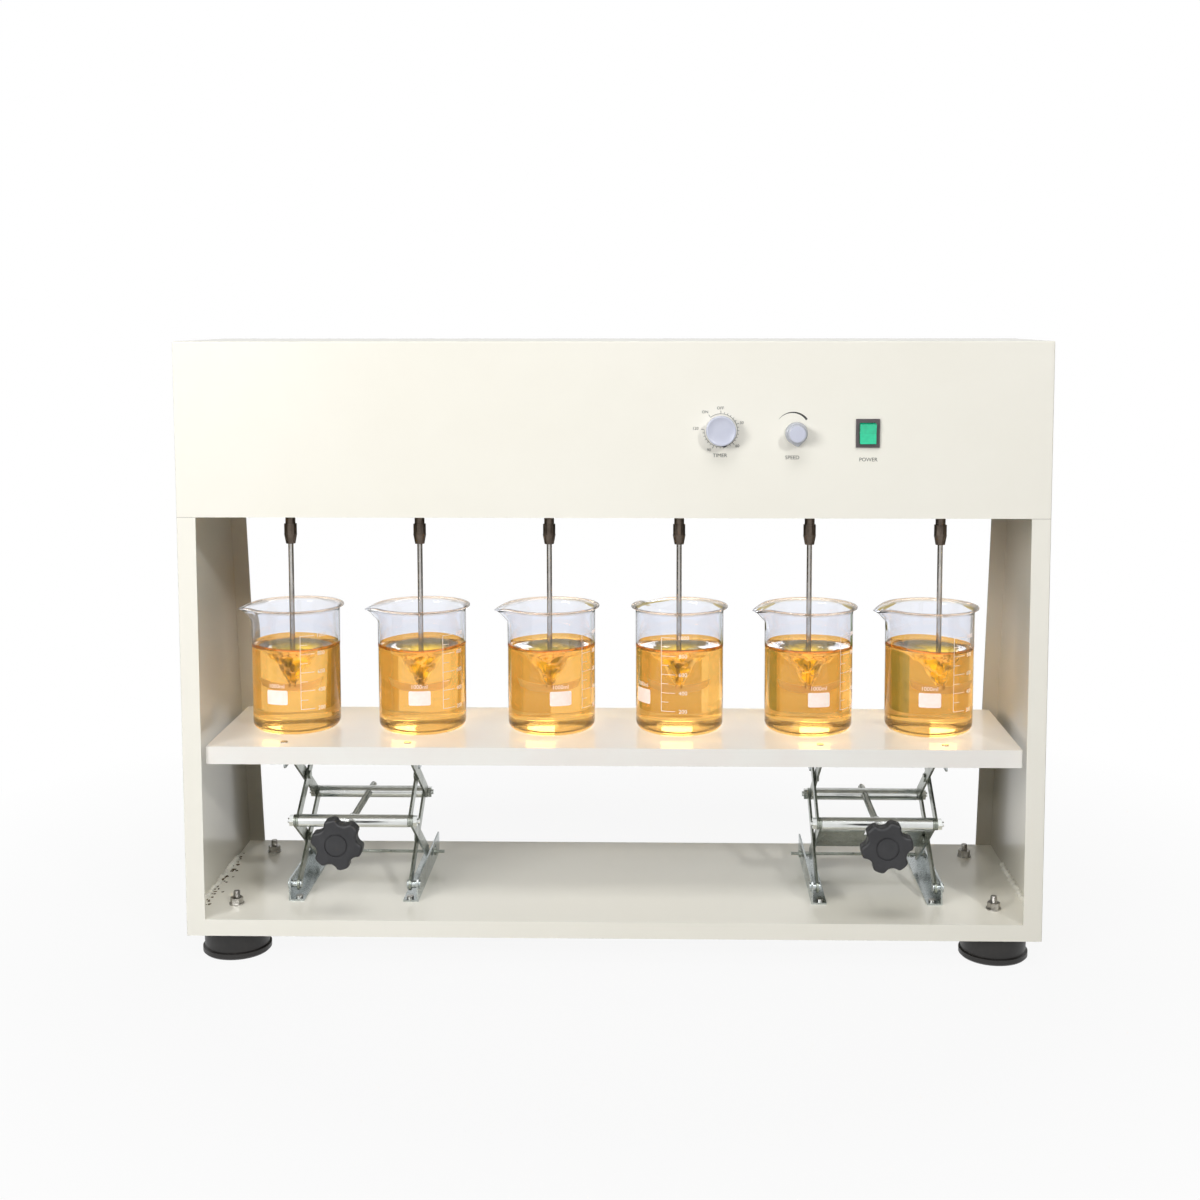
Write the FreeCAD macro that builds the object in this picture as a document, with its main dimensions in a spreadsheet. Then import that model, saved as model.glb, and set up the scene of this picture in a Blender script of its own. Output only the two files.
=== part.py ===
"""Six-place jar tester: a folded sheet frame with six driven stirrers above a shelf of
1000 ml beakers, and two two-stage scissor jacks that raise and lower the shelf.

Millimetres and degrees.  +X runs along the row of beakers, +Y to the rear, +Z up, and the
origin lies on the bench under the middle of the whole object.
"""
import FreeCAD, Part
import math
import os

import Sketcher

VECTOR = FreeCAD.Vector

# ---------------------------------------------------------------- driving dimensions
DIMENSIONS = {
    # frame of folded sheet
    "body_width": 955.0,
    "base_depth": 278.0,
    "head_depth": 214.0,
    "top_height": 699.0,
    "head_height": 192.5,
    "base_clear": 33.7,
    "base_band": 18.7,
    "flange_width": 21.0,
    "gauge": 2.0,
    "edge_round": 1.4,
    "plate_lip": 12.0,
    # rubber feet on through bolts
    "foot_inset": 43.9,
    "foot_front_y": 50.0,
    "foot_rear_y": 233.0,
    "foot_lip_radius": 38.7,
    "foot_lip_height": 8.0,
    "foot_radius": 37.0,
    "foot_neck_radius": 33.0,
    "foot_neck_taper": 2.5,
    "foot_recess_radius": 9.5,
    "foot_recess_depth": 12.0,
    "bolt_radius": 4.0,
    "bolt_head_flats": 13.0,
    "bolt_head_height": 5.3,
    "bolt_stand": 15.5,
    "nut_height": 6.5,
    "washer_radius": 8.5,
    "washer_thickness": 1.5,
    "hole_clearance": 0.3,
    # shelf
    "shelf_gap": 3.0,
    "shelf_depth": 188.0,
    "shelf_setback": 8.5,
    "shelf_lip": 20.0,
    # scissor jacks
    "left_jack_inset": 177.0,
    "right_jack_inset": 175.2,
    "jack_width": 150.0,
    "bar_setback": 68.0,
    "pivot_rise": 18.0,
    "top_drop": 25.6,
    "arm_pitch": 139.0,
    "rest_angle": 32.65,
    "lowest_angle": 10.15,
    "highest_angle": 42.15,
    "arm_width": 14.0,
    "arm_thickness": 2.5,
    "arm_gap": 0.5,
    "arm_inset": 4.0,
    "pivot_radius": 4.0,
    "pivot_clearance": 0.05,
    "open_clearance": 0.3,
    "rivet_radius": 3.0,
    "rivet_head_radius": 5.0,
    "rivet_head": 1.8,
    "spacer_radius": 4.2,
    "bar_radius": 7.2,
    "bar_head_flats": 11.5,
    "bar_head_height": 4.6,
    "bolt_tip_radius": 3.0,
    "bolt_tip_length": 2.2,
    "rail_front": 60.0,
    "rail_length": 178.0,
    "rail_height": 25.5,
    "rail_foot": 17.5,
    "rail_gauge": 2.0,
    "rail_chamfer": 2.5,
    "top_rail_end": 3.1,
    "top_rail_margin": 12.0,
    "top_rail_spread": 3.5,
    "rod_radius": 1.8,
    "rod_reach": 88.5,
    "rod_stub": 1.5,
    "rod_nut_radius": 4.5,
    "rod_nut_height": 3.5,
    "rod_nut_gap": 1.0,
    "slot_clearance": 0.3,
    "slot_margin": 2.0,
    "brace_start": 55.0,
    "brace_end": 122.0,
    "brace_thickness": 2.0,
    "brace_notch_width": 14.0,
    "brace_notch_end": 74.0,
    "rail_screw_radius": 4.0,
    "rail_screw_height": 2.4,
    "rail_screw_inset": 8.0,
    # lead screw and star knob
    "screw_radius": 4.0,
    "screw_tail": 148.0,
    "left_screw_offset": -2.8,
    "right_screw_offset": 0.0,
    "collar_radius": 5.7,
    "collar_length": 5.0,
    "knob_reach": 89.5,
    "knob_radius": 28.8,
    "left_knob_turn": 15.0,
    "right_knob_turn": -11.0,
    "knob_thickness": 15.0,
    "knob_boss_radius": 9.0,
    "knob_boss_length": 6.0,
    "knob_valley_radius": 9.0,
    "knob_valley_distance": 32.0,
    "knob_lobe_round": 4.5,
    "knob_face_round": 3.0,
    "knob_lobes": 6,
    "knob_hub_radius": 13.0,
    "knob_groove_width": 1.8,
    "knob_groove_depth": 1.2,
    # stirring heads
    "place_margin": 102.5,
    "place_count": 6,
    "spindle_y": 101.0,
    "shaft_radius": 4.0,
    "shaft_gap": 0.1,
    "chuck_collar_radius": 5.7,
    "chuck_body_radius": 7.4,
    "chuck_tip_radius": 5.4,
    "chuck_collar_drop": 19.5,
    "chuck_body_length": 12.0,
    "chuck_cone_length": 11.0,
    "chuck_flat_depth": 0.45,
    "chuck_flats": 12,
    "rod_stirrer_radius": 3.0,
    "stirrer_grip": 20.0,
    "paddle_bottom": 292.5,
    "paddle_height": 16.0,
    "paddle_span": 56.0,
    "paddle_sag": 9.0,
    "paddle_thickness": 2.0,
    "motor_radius": 28.0,
    "motor_height": 70.0,
    "gearbox_height": 18.0,
    "motor_boss_radius": 11.0,
    "motor_flange": 4.0,
    "motor_flange_radius": 32.0,
    # beakers
    "beaker_radius": 50.7,
    "beaker_height": 145.0,
    "beaker_wall": 1.8,
    "beaker_base": 3.0,
    "beaker_corner": 9.0,
    "beaker_rim_radius": 55.7,
    "beaker_flare": 7.0,
    "spout_reach": 7.0,
    "spout_drop": 26.0,
    "spout_mouth": 14.0,
    # front controls
    "timer_drop": 96.5,
    "timer_x": 118.8,
    "timer_knob_radius": 16.0,
    "timer_knob_height": 15.0,
    "timer_pointer": 2.4,
    "timer_angle": 13.0,
    "speed_drop": 99.6,
    "speed_x": 200.6,
    "speed_skirt_radius": 12.5,
    "speed_skirt_height": 5.0,
    "speed_cap_radius": 9.7,
    "speed_cap_height": 13.0,
    "speed_pointer": 2.6,
    "speed_angle": 7.0,
    "knob_panel_gap": 0.6,
    "spindle_radius": 3.0,
    "bushing_radius": 5.0,
    "timer_case": 44.0,
    "timer_case_depth": 38.0,
    "pot_radius": 12.0,
    "pot_depth": 16.0,
    "switch_drop": 99.4,
    "switch_x": 277.6,
    "bezel_width": 25.7,
    "bezel_height": 31.0,
    "bezel_stand": 2.2,
    "rocker_width": 17.5,
    "rocker_height": 21.5,
    "rocker_swing": 16.0,
    "rocker_rise": 5.0,
    "rocker_pin_radius": 1.5,
    "switch_depth": 24.0,
    # rear of the head
    "board_width": 120.0,
    "board_height": 80.0,
    "board_thickness": 1.6,
    "board_standoff": 8.0,
    "board_rise": 93.5,
    "board_parts": 22.0,
    "pillar_radius": 3.0,
    "pillar_inset": 6.0,
    "gland_inset": 77.5,
    "gland_rise": 28.5,
    "gland_radius": 7.0,
    "gland_nut_flats": 22.0,
    "gland_length": 14.0,
    "gland_bore": 3.6,
    "vent_length": 60.0,
    "vent_width": 4.0,
    "vent_pitch": 10.0,
    "vent_rows": 6,
    "vent_x": 280.0,
    "panel_screw_radius": 3.5,
    "panel_screw_height": 2.0,
    "panel_screw_inset": 12.0,
}

doc = FreeCAD.newDocument("JarTester")
sheet = doc.addObject("Spreadsheet::Sheet", "Sizes")
for row, (name, number) in enumerate(DIMENSIONS.items(), start=1):
    sheet.set(f"A{row}", name)
    sheet.set(f"B{row}", str(number))
    sheet.setAlias(f"B{row}", name)
doc.recompute()


# ---------------------------------------------------------------- sizes with expressions
class Size:
    """A number together with the spreadsheet expression that gives it."""

    def __init__(self, value, text):
        self.value = value
        self.text = text

    def __add__(self, other):
        other = size(other)
        return Size(self.value + other.value, f"({self.text} + {other.text})")

    def __sub__(self, other):
        other = size(other)
        return Size(self.value - other.value, f"({self.text} - {other.text})")

    def __mul__(self, other):
        other = size(other)
        return Size(self.value * other.value, f"({self.text} * {other.text})")

    def __truediv__(self, other):
        other = size(other)
        return Size(self.value / other.value, f"({self.text} / {other.text})")

    def __neg__(self):
        return Size(-self.value, f"(0 - {self.text})")

    __radd__ = __add__
    __rmul__ = __mul__

    def __rsub__(self, other):
        return size(other) - self


def size(thing):
    """Plain numbers become sizes too, so both can be mixed in a sum."""
    if isinstance(thing, Size):
        return thing
    return Size(float(thing), f"{thing:.9g}")


def cell(name):
    return Size(float(sheet.get(name)), f"Sizes.{name}")


def sine(angle):
    return Size(math.sin(math.radians(angle.value)), f"sin({angle.text})")


def cosine(angle):
    return Size(math.cos(math.radians(angle.value)), f"cos({angle.text})")


D = {name: cell(name) for name in DIMENSIONS}

# heights and setbacks that several pieces share
HALF_WIDTH = D["body_width"] / 2
FLOOR_TOP = D["base_clear"] + D["base_band"]
FLOOR_UNDER = FLOOR_TOP - D["gauge"]
HEAD_BOTTOM = D["top_height"] - D["head_height"]
FOOT_X = HALF_WIDTH - D["foot_inset"]
TIMER_Z = D["top_height"] - D["timer_drop"]
SPEED_Z = D["top_height"] - D["speed_drop"]
SWITCH_Z = D["top_height"] - D["switch_drop"]
BOARD_Z = HEAD_BOTTOM + D["board_rise"]
PLACE_PITCH = (D["body_width"] - D["place_margin"] * 2) / (D["place_count"] - 1)
OVERHANG = D["knob_reach"] - D["bar_setback"]
FRONT = (OVERHANG - D["base_depth"]) / 2
STAGE_RISE = D["arm_pitch"] * sine(D["rest_angle"])
FLOOR_PIVOT = FLOOR_TOP + D["pivot_rise"]
BAR_Z = FLOOR_PIVOT + STAGE_RISE
TOP_PIVOT = BAR_Z + STAGE_RISE
SHELF_UNDER = TOP_PIVOT + D["top_drop"]
SHELF_TOP = SHELF_UNDER + D["gauge"]
REAR_BAR_Y = D["bar_setback"] + D["arm_pitch"] * cosine(D["rest_angle"])
JACK_CENTRES = (D["left_jack_inset"] - HALF_WIDTH, HALF_WIDTH - D["right_jack_inset"])
WEB_OUT = D["jack_width"] / 2
TOP_WEB_OUT = WEB_OUT + D["top_rail_spread"]
WEB_IN = WEB_OUT - D["rail_gauge"]
OUTER_ARM = WEB_IN - D["arm_inset"] - D["arm_thickness"]
INNER_ARM = OUTER_ARM - D["arm_gap"] - D["arm_thickness"]
BAR_END = INNER_ARM - D["arm_gap"]
PIN_END = OUTER_ARM + D["arm_thickness"] + D["arm_gap"] / 2


# ---------------------------------------------------------------- drawing helpers
def new_body(label):
    body = doc.addObject("PartDesign::Body", label)
    body.Label = label
    body.AllowCompound = True
    return body


def origin_feature(body, role):
    for feature in body.Origin.OriginFeatures:
        if feature.Role == role:
            return feature
    raise RuntimeError(f"{body.Label}: no {role}")


def bind(thing, path, length):
    thing.setExpression(path, length.text)


def new_sketch(body, plane, offset=None):
    sketch = body.newObject("Sketcher::SketchObject", f"{body.Name}_sketch")
    sketch.AttachmentSupport = [(origin_feature(body, plane), "")]
    sketch.MapMode = "FlatFace"
    if offset is not None:
        sketch.AttachmentOffset = FreeCAD.Placement(VECTOR(0, 0, offset.value), FreeCAD.Rotation())
        bind(sketch, "AttachmentOffset.Base.z", offset)
    return sketch


def pin_point(sketch, geometry, end, across, up):
    """Fix one point of the sketch at (across, up) from its origin."""
    index = sketch.addConstraint(
        Sketcher.Constraint("DistanceX", -1, 1, geometry, end, across.value))
    bind(sketch, f"Constraints[{index}]", across)
    index = sketch.addConstraint(
        Sketcher.Constraint("DistanceY", -1, 1, geometry, end, up.value))
    bind(sketch, f"Constraints[{index}]", up)


def outline(sketch, points):
    """Closed outline of straight lines through the points."""
    points = [(size(across), size(up)) for across, up in points]
    first = sketch.GeometryCount
    count = len(points)
    for index, (across, up) in enumerate(points):
        next_across, next_up = points[(index + 1) % count]
        line = Part.LineSegment(VECTOR(across.value, up.value, 0),
                                VECTOR(next_across.value, next_up.value, 0))
        sketch.addGeometry(line, False)
    for index, (across, up) in enumerate(points):
        following = first + (index + 1) % count
        sketch.addConstraint(Sketcher.Constraint("Coincident", first + index, 2, following, 1))
        pin_point(sketch, first + index, 1, across, up)


def rectangle(sketch, left, low, right, high):
    outline(sketch, [(left, low), (right, low), (right, high), (left, high)])


def circle(sketch, across, up, radius):
    across = size(across)
    up = size(up)
    ring = Part.Circle(VECTOR(across.value, up.value, 0), VECTOR(0, 0, 1), radius.value)
    index = sketch.addGeometry(ring, False)
    constraint = sketch.addConstraint(Sketcher.Constraint("Radius", index, radius.value))
    bind(sketch, f"Constraints[{constraint}]", radius)
    pin_point(sketch, index, 3, across, up)


def hexagon(sketch, across, up, flats):
    corner = flats / math.sqrt(3)
    points = []
    for turn in range(6):
        angle = math.radians(60 * turn)
        points.append((size(across) + corner * math.cos(angle),
                       size(up) + corner * math.sin(angle)))
    outline(sketch, points)


def stadium(sketch, start, end, up, radius):
    """Two half circles joined by straight sides, along the sketch's first axis."""
    start, end, up = size(start), size(end), size(up)
    low, high = up.value - radius.value, up.value + radius.value
    left = Part.ArcOfCircle(
        Part.Circle(VECTOR(start.value, up.value, 0), VECTOR(0, 0, 1), radius.value),
        math.pi / 2, 3 * math.pi / 2)
    right = Part.ArcOfCircle(
        Part.Circle(VECTOR(end.value, up.value, 0), VECTOR(0, 0, 1), radius.value),
        -math.pi / 2, math.pi / 2)
    under = Part.LineSegment(VECTOR(start.value, low, 0), VECTOR(end.value, low, 0))
    over = Part.LineSegment(VECTOR(end.value, high, 0), VECTOR(start.value, high, 0))
    first = sketch.GeometryCount
    for piece in (left, under, right, over):
        sketch.addGeometry(piece, False)
    for index in range(4):
        following = first + (index + 1) % 4
        sketch.addConstraint(Sketcher.Constraint("Tangent", first + index, 2, following, 1))
    constraint = sketch.addConstraint(Sketcher.Constraint("Radius", first, radius.value))
    bind(sketch, f"Constraints[{constraint}]", radius)
    pin_point(sketch, first, 3, start, up)
    constraint = sketch.addConstraint(
        Sketcher.Constraint("DistanceX", -1, 1, first + 2, 3, end.value))
    bind(sketch, f"Constraints[{constraint}]", end)


def extrude(body, kind, sketch, length, reverse, middle):
    feature = body.newObject(f"PartDesign::{kind}", f"{body.Name}_{kind.lower()}")
    feature.Profile = sketch
    feature.Length = length.value
    bind(feature, "Length", length)
    feature.Reversed = reverse
    feature.Midplane = middle
    sketch.Visibility = False
    return feature


def pad(body, sketch, length, reverse=False, middle=False):
    return extrude(body, "Pad", sketch, size(length), reverse, middle)


def pocket(body, sketch, length, reverse=False, middle=False):
    """A cut, which must take something away."""
    doc.recompute()
    before = body.Shape.Volume
    feature = extrude(body, "Pocket", sketch, size(length), reverse, middle)
    doc.recompute()
    if not body.Shape.Volume < before:
        raise RuntimeError(f"{body.Label}: a pocket cut nothing")
    return feature


def turn(body, kind, sketch, axis="V_Axis"):
    """A Revolution or a Groove about one axis of its sketch."""
    feature = body.newObject(f"PartDesign::{kind}", f"{body.Name}_{kind.lower()}")
    feature.Profile = sketch
    feature.ReferenceAxis = (sketch, [axis])
    feature.Angle = 360
    sketch.Visibility = False
    return feature


def revolved(label, points, plane="XZ_Plane"):
    """Body turned from one closed profile of (radius, height) points."""
    body = new_body(label)
    sketch = new_sketch(body, plane)
    outline(sketch, points)
    turn(body, "Revolution", sketch)
    return body


def mirror(body, features, plane="YZ_Plane"):
    feature = body.newObject("PartDesign::Mirrored", f"{body.Name}_mirror")
    feature.Originals = features
    feature.MirrorPlane = (origin_feature(body, plane), [""])
    body.Tip = feature
    return feature


def polar(body, features, axis, count):
    feature = body.newObject("PartDesign::PolarPattern", f"{body.Name}_ring")
    feature.Originals = features
    feature.Axis = (origin_feature(body, axis), [""])
    feature.Angle = 360
    feature.Occurrences = int(count.value)
    bind(feature, "Occurrences", count)
    body.Tip = feature
    return feature


def round_edges(body, radius, wanted, kind="Fillet"):
    """Round, or chamfer, each edge of the body so far for which wanted(edge) is true."""
    doc.recompute()
    base = body.Tip
    names = [f"Edge{number}" for number, edge in enumerate(base.Shape.Edges, start=1)
             if wanted(edge)]
    if not names:
        raise RuntimeError(f"{body.Label}: no edge to round")
    feature = body.newObject(f"PartDesign::{kind}", f"{body.Name}_{kind.lower()}")
    feature.Base = (base, names)
    path = "Radius" if kind == "Fillet" else "Size"
    setattr(feature, path, radius.value)
    bind(feature, path, radius)
    return feature


def place(thing, across=0, back=0, up=0, axis=None, angle=None):
    """Put a piece at its place, back measured from the frame's front face."""
    across, back, up = size(across), size(back) + FRONT, size(up)
    rotation = FreeCAD.Rotation()
    if axis is not None:
        rotation = FreeCAD.Rotation(VECTOR(*axis), angle.value)
    thing.Placement = FreeCAD.Placement(
        VECTOR(across.value, back.value, up.value), rotation)
    bind(thing, "Placement.Base.x", across)
    bind(thing, "Placement.Base.y", back)
    bind(thing, "Placement.Base.z", up)
    if axis is not None:
        bind(thing, "Placement.Rotation.Angle", angle)
    return thing


NODES = []


def node(thing):
    """Keep a finished piece for export under its label."""
    NODES.append(thing)
    return thing


def group(label, members):
    """Separate solids of one kind that share a node."""
    bundle = doc.addObject("Part::Compound", label)
    bundle.Label = label
    bundle.Links = members
    return node(bundle)


def along(edge, axis):
    """True for a straight edge parallel to the axis."""
    if not isinstance(edge.Curve, Part.Line):
        return False
    return abs(edge.Curve.Direction.dot(VECTOR(*axis))) > 0.999


# ---------------------------------------------------------------- base and side frames
def base_tray():
    """Floor sheet folded down along its front, rear and sides."""
    body = new_body("base_tray")
    gauge = D["gauge"]
    side = HALF_WIDTH - gauge
    sheet_sketch = new_sketch(body, "XY_Plane", D["base_clear"])
    rectangle(sheet_sketch, -side, 0, side, D["base_depth"])
    pad(body, sheet_sketch, D["base_band"])
    hollow = new_sketch(body, "XY_Plane", D["base_clear"])
    rectangle(hollow, gauge - side, gauge, side - gauge, D["base_depth"] - gauge)
    pocket(body, hollow, D["base_band"] - gauge, reverse=True)
    corners = new_sketch(body, "XY_Plane", D["base_clear"])
    flange_edge = HALF_WIDTH - D["flange_width"]
    for left, right in ((flange_edge, side + 1), (-side - 1, -flange_edge)):
        rectangle(corners, left, -1, right, gauge)
    pocket(body, corners, D["base_band"] + 1, reverse=True)
    holes = new_sketch(body, "XY_Plane", FLOOR_TOP)
    for sign in (-1, 1):
        for back in (D["foot_front_y"], D["foot_rear_y"]):
            circle(holes, sign * FOOT_X, back, D["bolt_radius"] + D["hole_clearance"])
    pocket(body, holes, gauge)
    node(place(body))


def side_frame(label, sign):
    """Tall channel, open inwards, whose rear edge leans forward towards the head."""
    body = new_body(label)
    gauge = D["gauge"]
    outside = sign * HALF_WIDTH
    inward = sign > 0
    web = new_sketch(body, "YZ_Plane", outside)
    outline(web, [(0, D["base_clear"]), (D["base_depth"], D["base_clear"]),
                  (D["base_depth"], FLOOR_TOP), (D["head_depth"], HEAD_BOTTOM), (0, HEAD_BOTTOM)])
    pad(body, web, gauge, reverse=inward)
    front = new_sketch(body, "YZ_Plane", outside)
    rectangle(front, 0, D["base_clear"], gauge, HEAD_BOTTOM)
    pad(body, front, D["flange_width"], reverse=inward)
    rear = new_sketch(body, "YZ_Plane", outside)
    outline(rear, [(D["base_depth"] - gauge, FLOOR_TOP), (D["base_depth"], FLOOR_TOP),
                   (D["head_depth"], HEAD_BOTTOM), (D["head_depth"] - gauge, HEAD_BOTTOM)])
    pad(body, rear, D["flange_width"], reverse=inward)
    edge_x = outside.value
    round_edges(body, D["edge_round"], lambda edge: along(edge, (0, 0, 1))
                and abs(edge.CenterOfMass.x - edge_x) < 0.01 and abs(edge.CenterOfMass.y) < 0.01)
    node(place(body))


def feet():
    """Rubber feet, each held by a bolt that stands up through the floor with its nut."""
    bolts = []
    nuts = []
    neck = D["base_clear"] - D["foot_neck_taper"] * 2
    bore = D["bolt_radius"] + D["hole_clearance"]
    head_low = D["foot_recess_depth"] - D["bolt_head_height"]
    for where_y, back in (("front", D["foot_front_y"]), ("rear", D["foot_rear_y"])):
        for where_x, sign in (("left", -1), ("right", 1)):
            foot = revolved(f"{where_y}_{where_x}_foot", [
                (D["foot_recess_radius"], 0), (D["foot_lip_radius"] - 2, 0), (D["foot_lip_radius"], 2),
                (D["foot_lip_radius"], D["foot_lip_height"] - 1),
                (D["foot_radius"] - 0.6, D["foot_lip_height"]), (D["foot_radius"], neck),
                (D["foot_neck_radius"], D["base_clear"] - D["foot_neck_taper"] / 2),
                (D["foot_neck_radius"], FLOOR_UNDER), (bore, FLOOR_UNDER),
                (bore, D["foot_recess_depth"]), (D["foot_recess_radius"], D["foot_recess_depth"])])
            node(place(foot, sign * FOOT_X, back))

            bolt = new_body(f"bolt_{where_y}_{where_x}")
            shank = new_sketch(bolt, "XY_Plane", head_low)
            circle(shank, 0, 0, D["bolt_radius"])
            pad(bolt, shank, FLOOR_TOP + D["bolt_stand"] - head_low)
            head = new_sketch(bolt, "XY_Plane", head_low)
            hexagon(head, 0, 0, D["bolt_head_flats"])
            pad(bolt, head, D["bolt_head_height"])
            bolts.append(place(bolt, sign * FOOT_X, back))

            nut = new_body(f"nut_{where_y}_{where_x}")
            washer = new_sketch(nut, "XY_Plane")
            circle(washer, 0, 0, D["washer_radius"])
            pad(nut, washer, D["washer_thickness"])
            flats = new_sketch(nut, "XY_Plane", D["washer_thickness"])
            hexagon(flats, 0, 0, D["bolt_head_flats"])
            pad(nut, flats, D["nut_height"])
            thread = new_sketch(nut, "XY_Plane")
            circle(thread, 0, 0, D["bolt_radius"] + D["pivot_clearance"])
            pocket(nut, thread, D["washer_thickness"] + D["nut_height"], reverse=True)
            nuts.append(place(nut, sign * FOOT_X, back, FLOOR_TOP))
    group("foot_bolts", bolts)
    group("foot_nuts", nuts)


# ---------------------------------------------------------------- head
def head_cover():
    """Front, top and ends of the head, folded from one sheet and open behind and below."""
    body = new_body("head_cover")
    gauge = D["gauge"]
    block = new_sketch(body, "XY_Plane", HEAD_BOTTOM)
    rectangle(block, -HALF_WIDTH, 0, HALF_WIDTH, D["head_depth"])
    pad(body, block, D["head_height"])
    hollow = new_sketch(body, "XY_Plane", HEAD_BOTTOM)
    rectangle(hollow, gauge - HALF_WIDTH, gauge, HALF_WIDTH - gauge, D["head_depth"] + 1)
    pocket(body, hollow, D["head_height"] - gauge, reverse=True)
    openings = new_sketch(body, "XZ_Plane")
    bushing = D["bushing_radius"] + D["hole_clearance"]
    circle(openings, D["timer_x"], TIMER_Z, bushing)
    circle(openings, D["speed_x"], SPEED_Z, bushing)
    half_wide = D["bezel_width"] / 2 - 1.5
    half_high = D["bezel_height"] / 2 - 1.5
    rectangle(openings, D["switch_x"] - half_wide, SWITCH_Z - half_high,
              D["switch_x"] + half_wide, SWITCH_Z + half_high)
    pocket(body, openings, gauge * 2, middle=True)
    top = D["top_height"].value
    half = HALF_WIDTH.value

    def outer_fold(edge):
        middle = edge.CenterOfMass
        on_front = abs(middle.y) < 0.01
        on_side = abs(abs(middle.x) - half) < 0.01
        on_top = abs(middle.z - top) < 0.01
        return (on_front and (on_side or on_top)) or (on_side and on_top)

    round_edges(body, D["edge_round"], outer_fold)
    node(place(body))


def motor_plate():
    """Bottom of the head, lipped at front and rear, which carries the six drives."""
    body = new_body("motor_plate")
    gauge = D["gauge"]
    side = HALF_WIDTH - gauge
    rear = D["head_depth"] - gauge
    plate = new_sketch(body, "XY_Plane", HEAD_BOTTOM)
    rectangle(plate, -side, gauge, side, rear)
    pad(body, plate, gauge)
    lips = new_sketch(body, "XY_Plane", HEAD_BOTTOM)
    rectangle(lips, -side, gauge, side, gauge * 2)
    rectangle(lips, -side, rear - gauge, side, rear)
    pad(body, lips, D["plate_lip"])
    bosses = new_sketch(body, "XY_Plane", HEAD_BOTTOM)
    for across in place_positions():
        circle(bosses, across, D["spindle_y"], D["motor_boss_radius"] + D["hole_clearance"])
    pocket(body, bosses, gauge, reverse=True)
    node(place(body))


def place_positions():
    count = int(D["place_count"].value)
    return [PLACE_PITCH * (index - (count - 1) / 2) for index in range(count)]


def drive_motors():
    """One geared motor over each beaker, its boss down through the plate."""
    gauge = D["gauge"]
    floor = HEAD_BOTTOM + gauge
    bore = D["shaft_radius"] + D["shaft_gap"]
    bore_top = floor + D["gearbox_height"]
    case_low = floor + D["gearbox_height"]
    motors = []
    for number, across in enumerate(place_positions(), start=1):
        motor = revolved(f"motor_{number}", [
            (bore, HEAD_BOTTOM), (D["motor_boss_radius"], HEAD_BOTTOM), (D["motor_boss_radius"], floor),
            (D["motor_flange_radius"], floor), (D["motor_flange_radius"], floor + D["motor_flange"]),
            (D["motor_radius"] - 3, floor + D["motor_flange"]), (D["motor_radius"] - 3, case_low),
            (D["motor_radius"], case_low), (D["motor_radius"], case_low + D["motor_height"]),
            (0, case_low + D["motor_height"]), (0, bore_top), (bore, bore_top)])
        motors.append(place(motor, across, D["spindle_y"]))
    group("drive_motors", motors)


def rear_panel():
    """Screwed rear panel with two banks of vent slots and the hole for the inlet gland."""
    body = new_body("head_rear_panel")
    gauge = D["gauge"]
    side = HALF_WIDTH - gauge
    # the panel lies between the plate's lip and the open rear of the cover
    panel = new_sketch(body, "XZ_Plane", gauge - D["head_depth"])
    rectangle(panel, -side, HEAD_BOTTOM, side, D["top_height"] - gauge)
    pad(body, panel, gauge, reverse=True)
    vents = new_sketch(body, "XZ_Plane", -D["head_depth"])
    rows = int(D["vent_rows"].value)
    for sign in (-1, 1):
        for index in range(rows):
            middle = sign * D["vent_x"]
            height = BOARD_Z + D["vent_pitch"] * (index - (rows - 1) / 2)
            stadium(vents, middle - D["vent_length"] / 2, middle + D["vent_length"] / 2,
                    height, D["vent_width"] / 2)
    circle(vents, D["gland_inset"] - HALF_WIDTH, HEAD_BOTTOM + D["gland_rise"],
           D["gland_radius"] + D["hole_clearance"])
    pocket(body, vents, gauge * 3, middle=True)
    node(place(body))

    screws = []
    for sign in (-1, 0, 1):
        for height in (HEAD_BOTTOM + D["panel_screw_inset"],
                       D["top_height"] - D["panel_screw_inset"]):
            screw = new_body(f"panel_screw_{len(screws) + 1}")
            head = new_sketch(screw, "XZ_Plane")
            circle(head, 0, 0, D["panel_screw_radius"])
            pad(screw, head, D["panel_screw_height"], reverse=True)
            across = sign * (HALF_WIDTH - D["panel_screw_inset"] * 2)
            screws.append(place(screw, across, D["head_depth"], height))
    return screws


def cable_gland():
    """Inlet gland on the rear panel: a hexagon nut outside, a lock ring inside."""
    body = new_body("cable_gland")
    gauge = D["gauge"]
    barrel = new_sketch(body, "XZ_Plane", -gauge * 3)
    circle(barrel, 0, 0, D["gland_radius"])
    pad(body, barrel, D["gland_length"] - gauge * 3, reverse=True)
    through = new_sketch(body, "XZ_Plane", gauge * 3)
    circle(through, 0, 0, D["gland_radius"])
    pad(body, through, gauge * 6, reverse=True)
    nut = new_sketch(body, "XZ_Plane")
    hexagon(nut, 0, 0, D["gland_nut_flats"])
    pad(body, nut, D["gland_length"] / 2, reverse=True)
    ring = new_sketch(body, "XZ_Plane", gauge)
    circle(ring, 0, 0, D["gland_radius"] + 3)
    pad(body, ring, gauge)
    bore = new_sketch(body, "XZ_Plane", gauge * 3)
    circle(bore, 0, 0, D["gland_bore"])
    pocket(body, bore, D["gland_length"] + gauge * 4, reverse=False)
    node(place(body, D["gland_inset"] - HALF_WIDTH, D["head_depth"], HEAD_BOTTOM + D["gland_rise"]))


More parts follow.
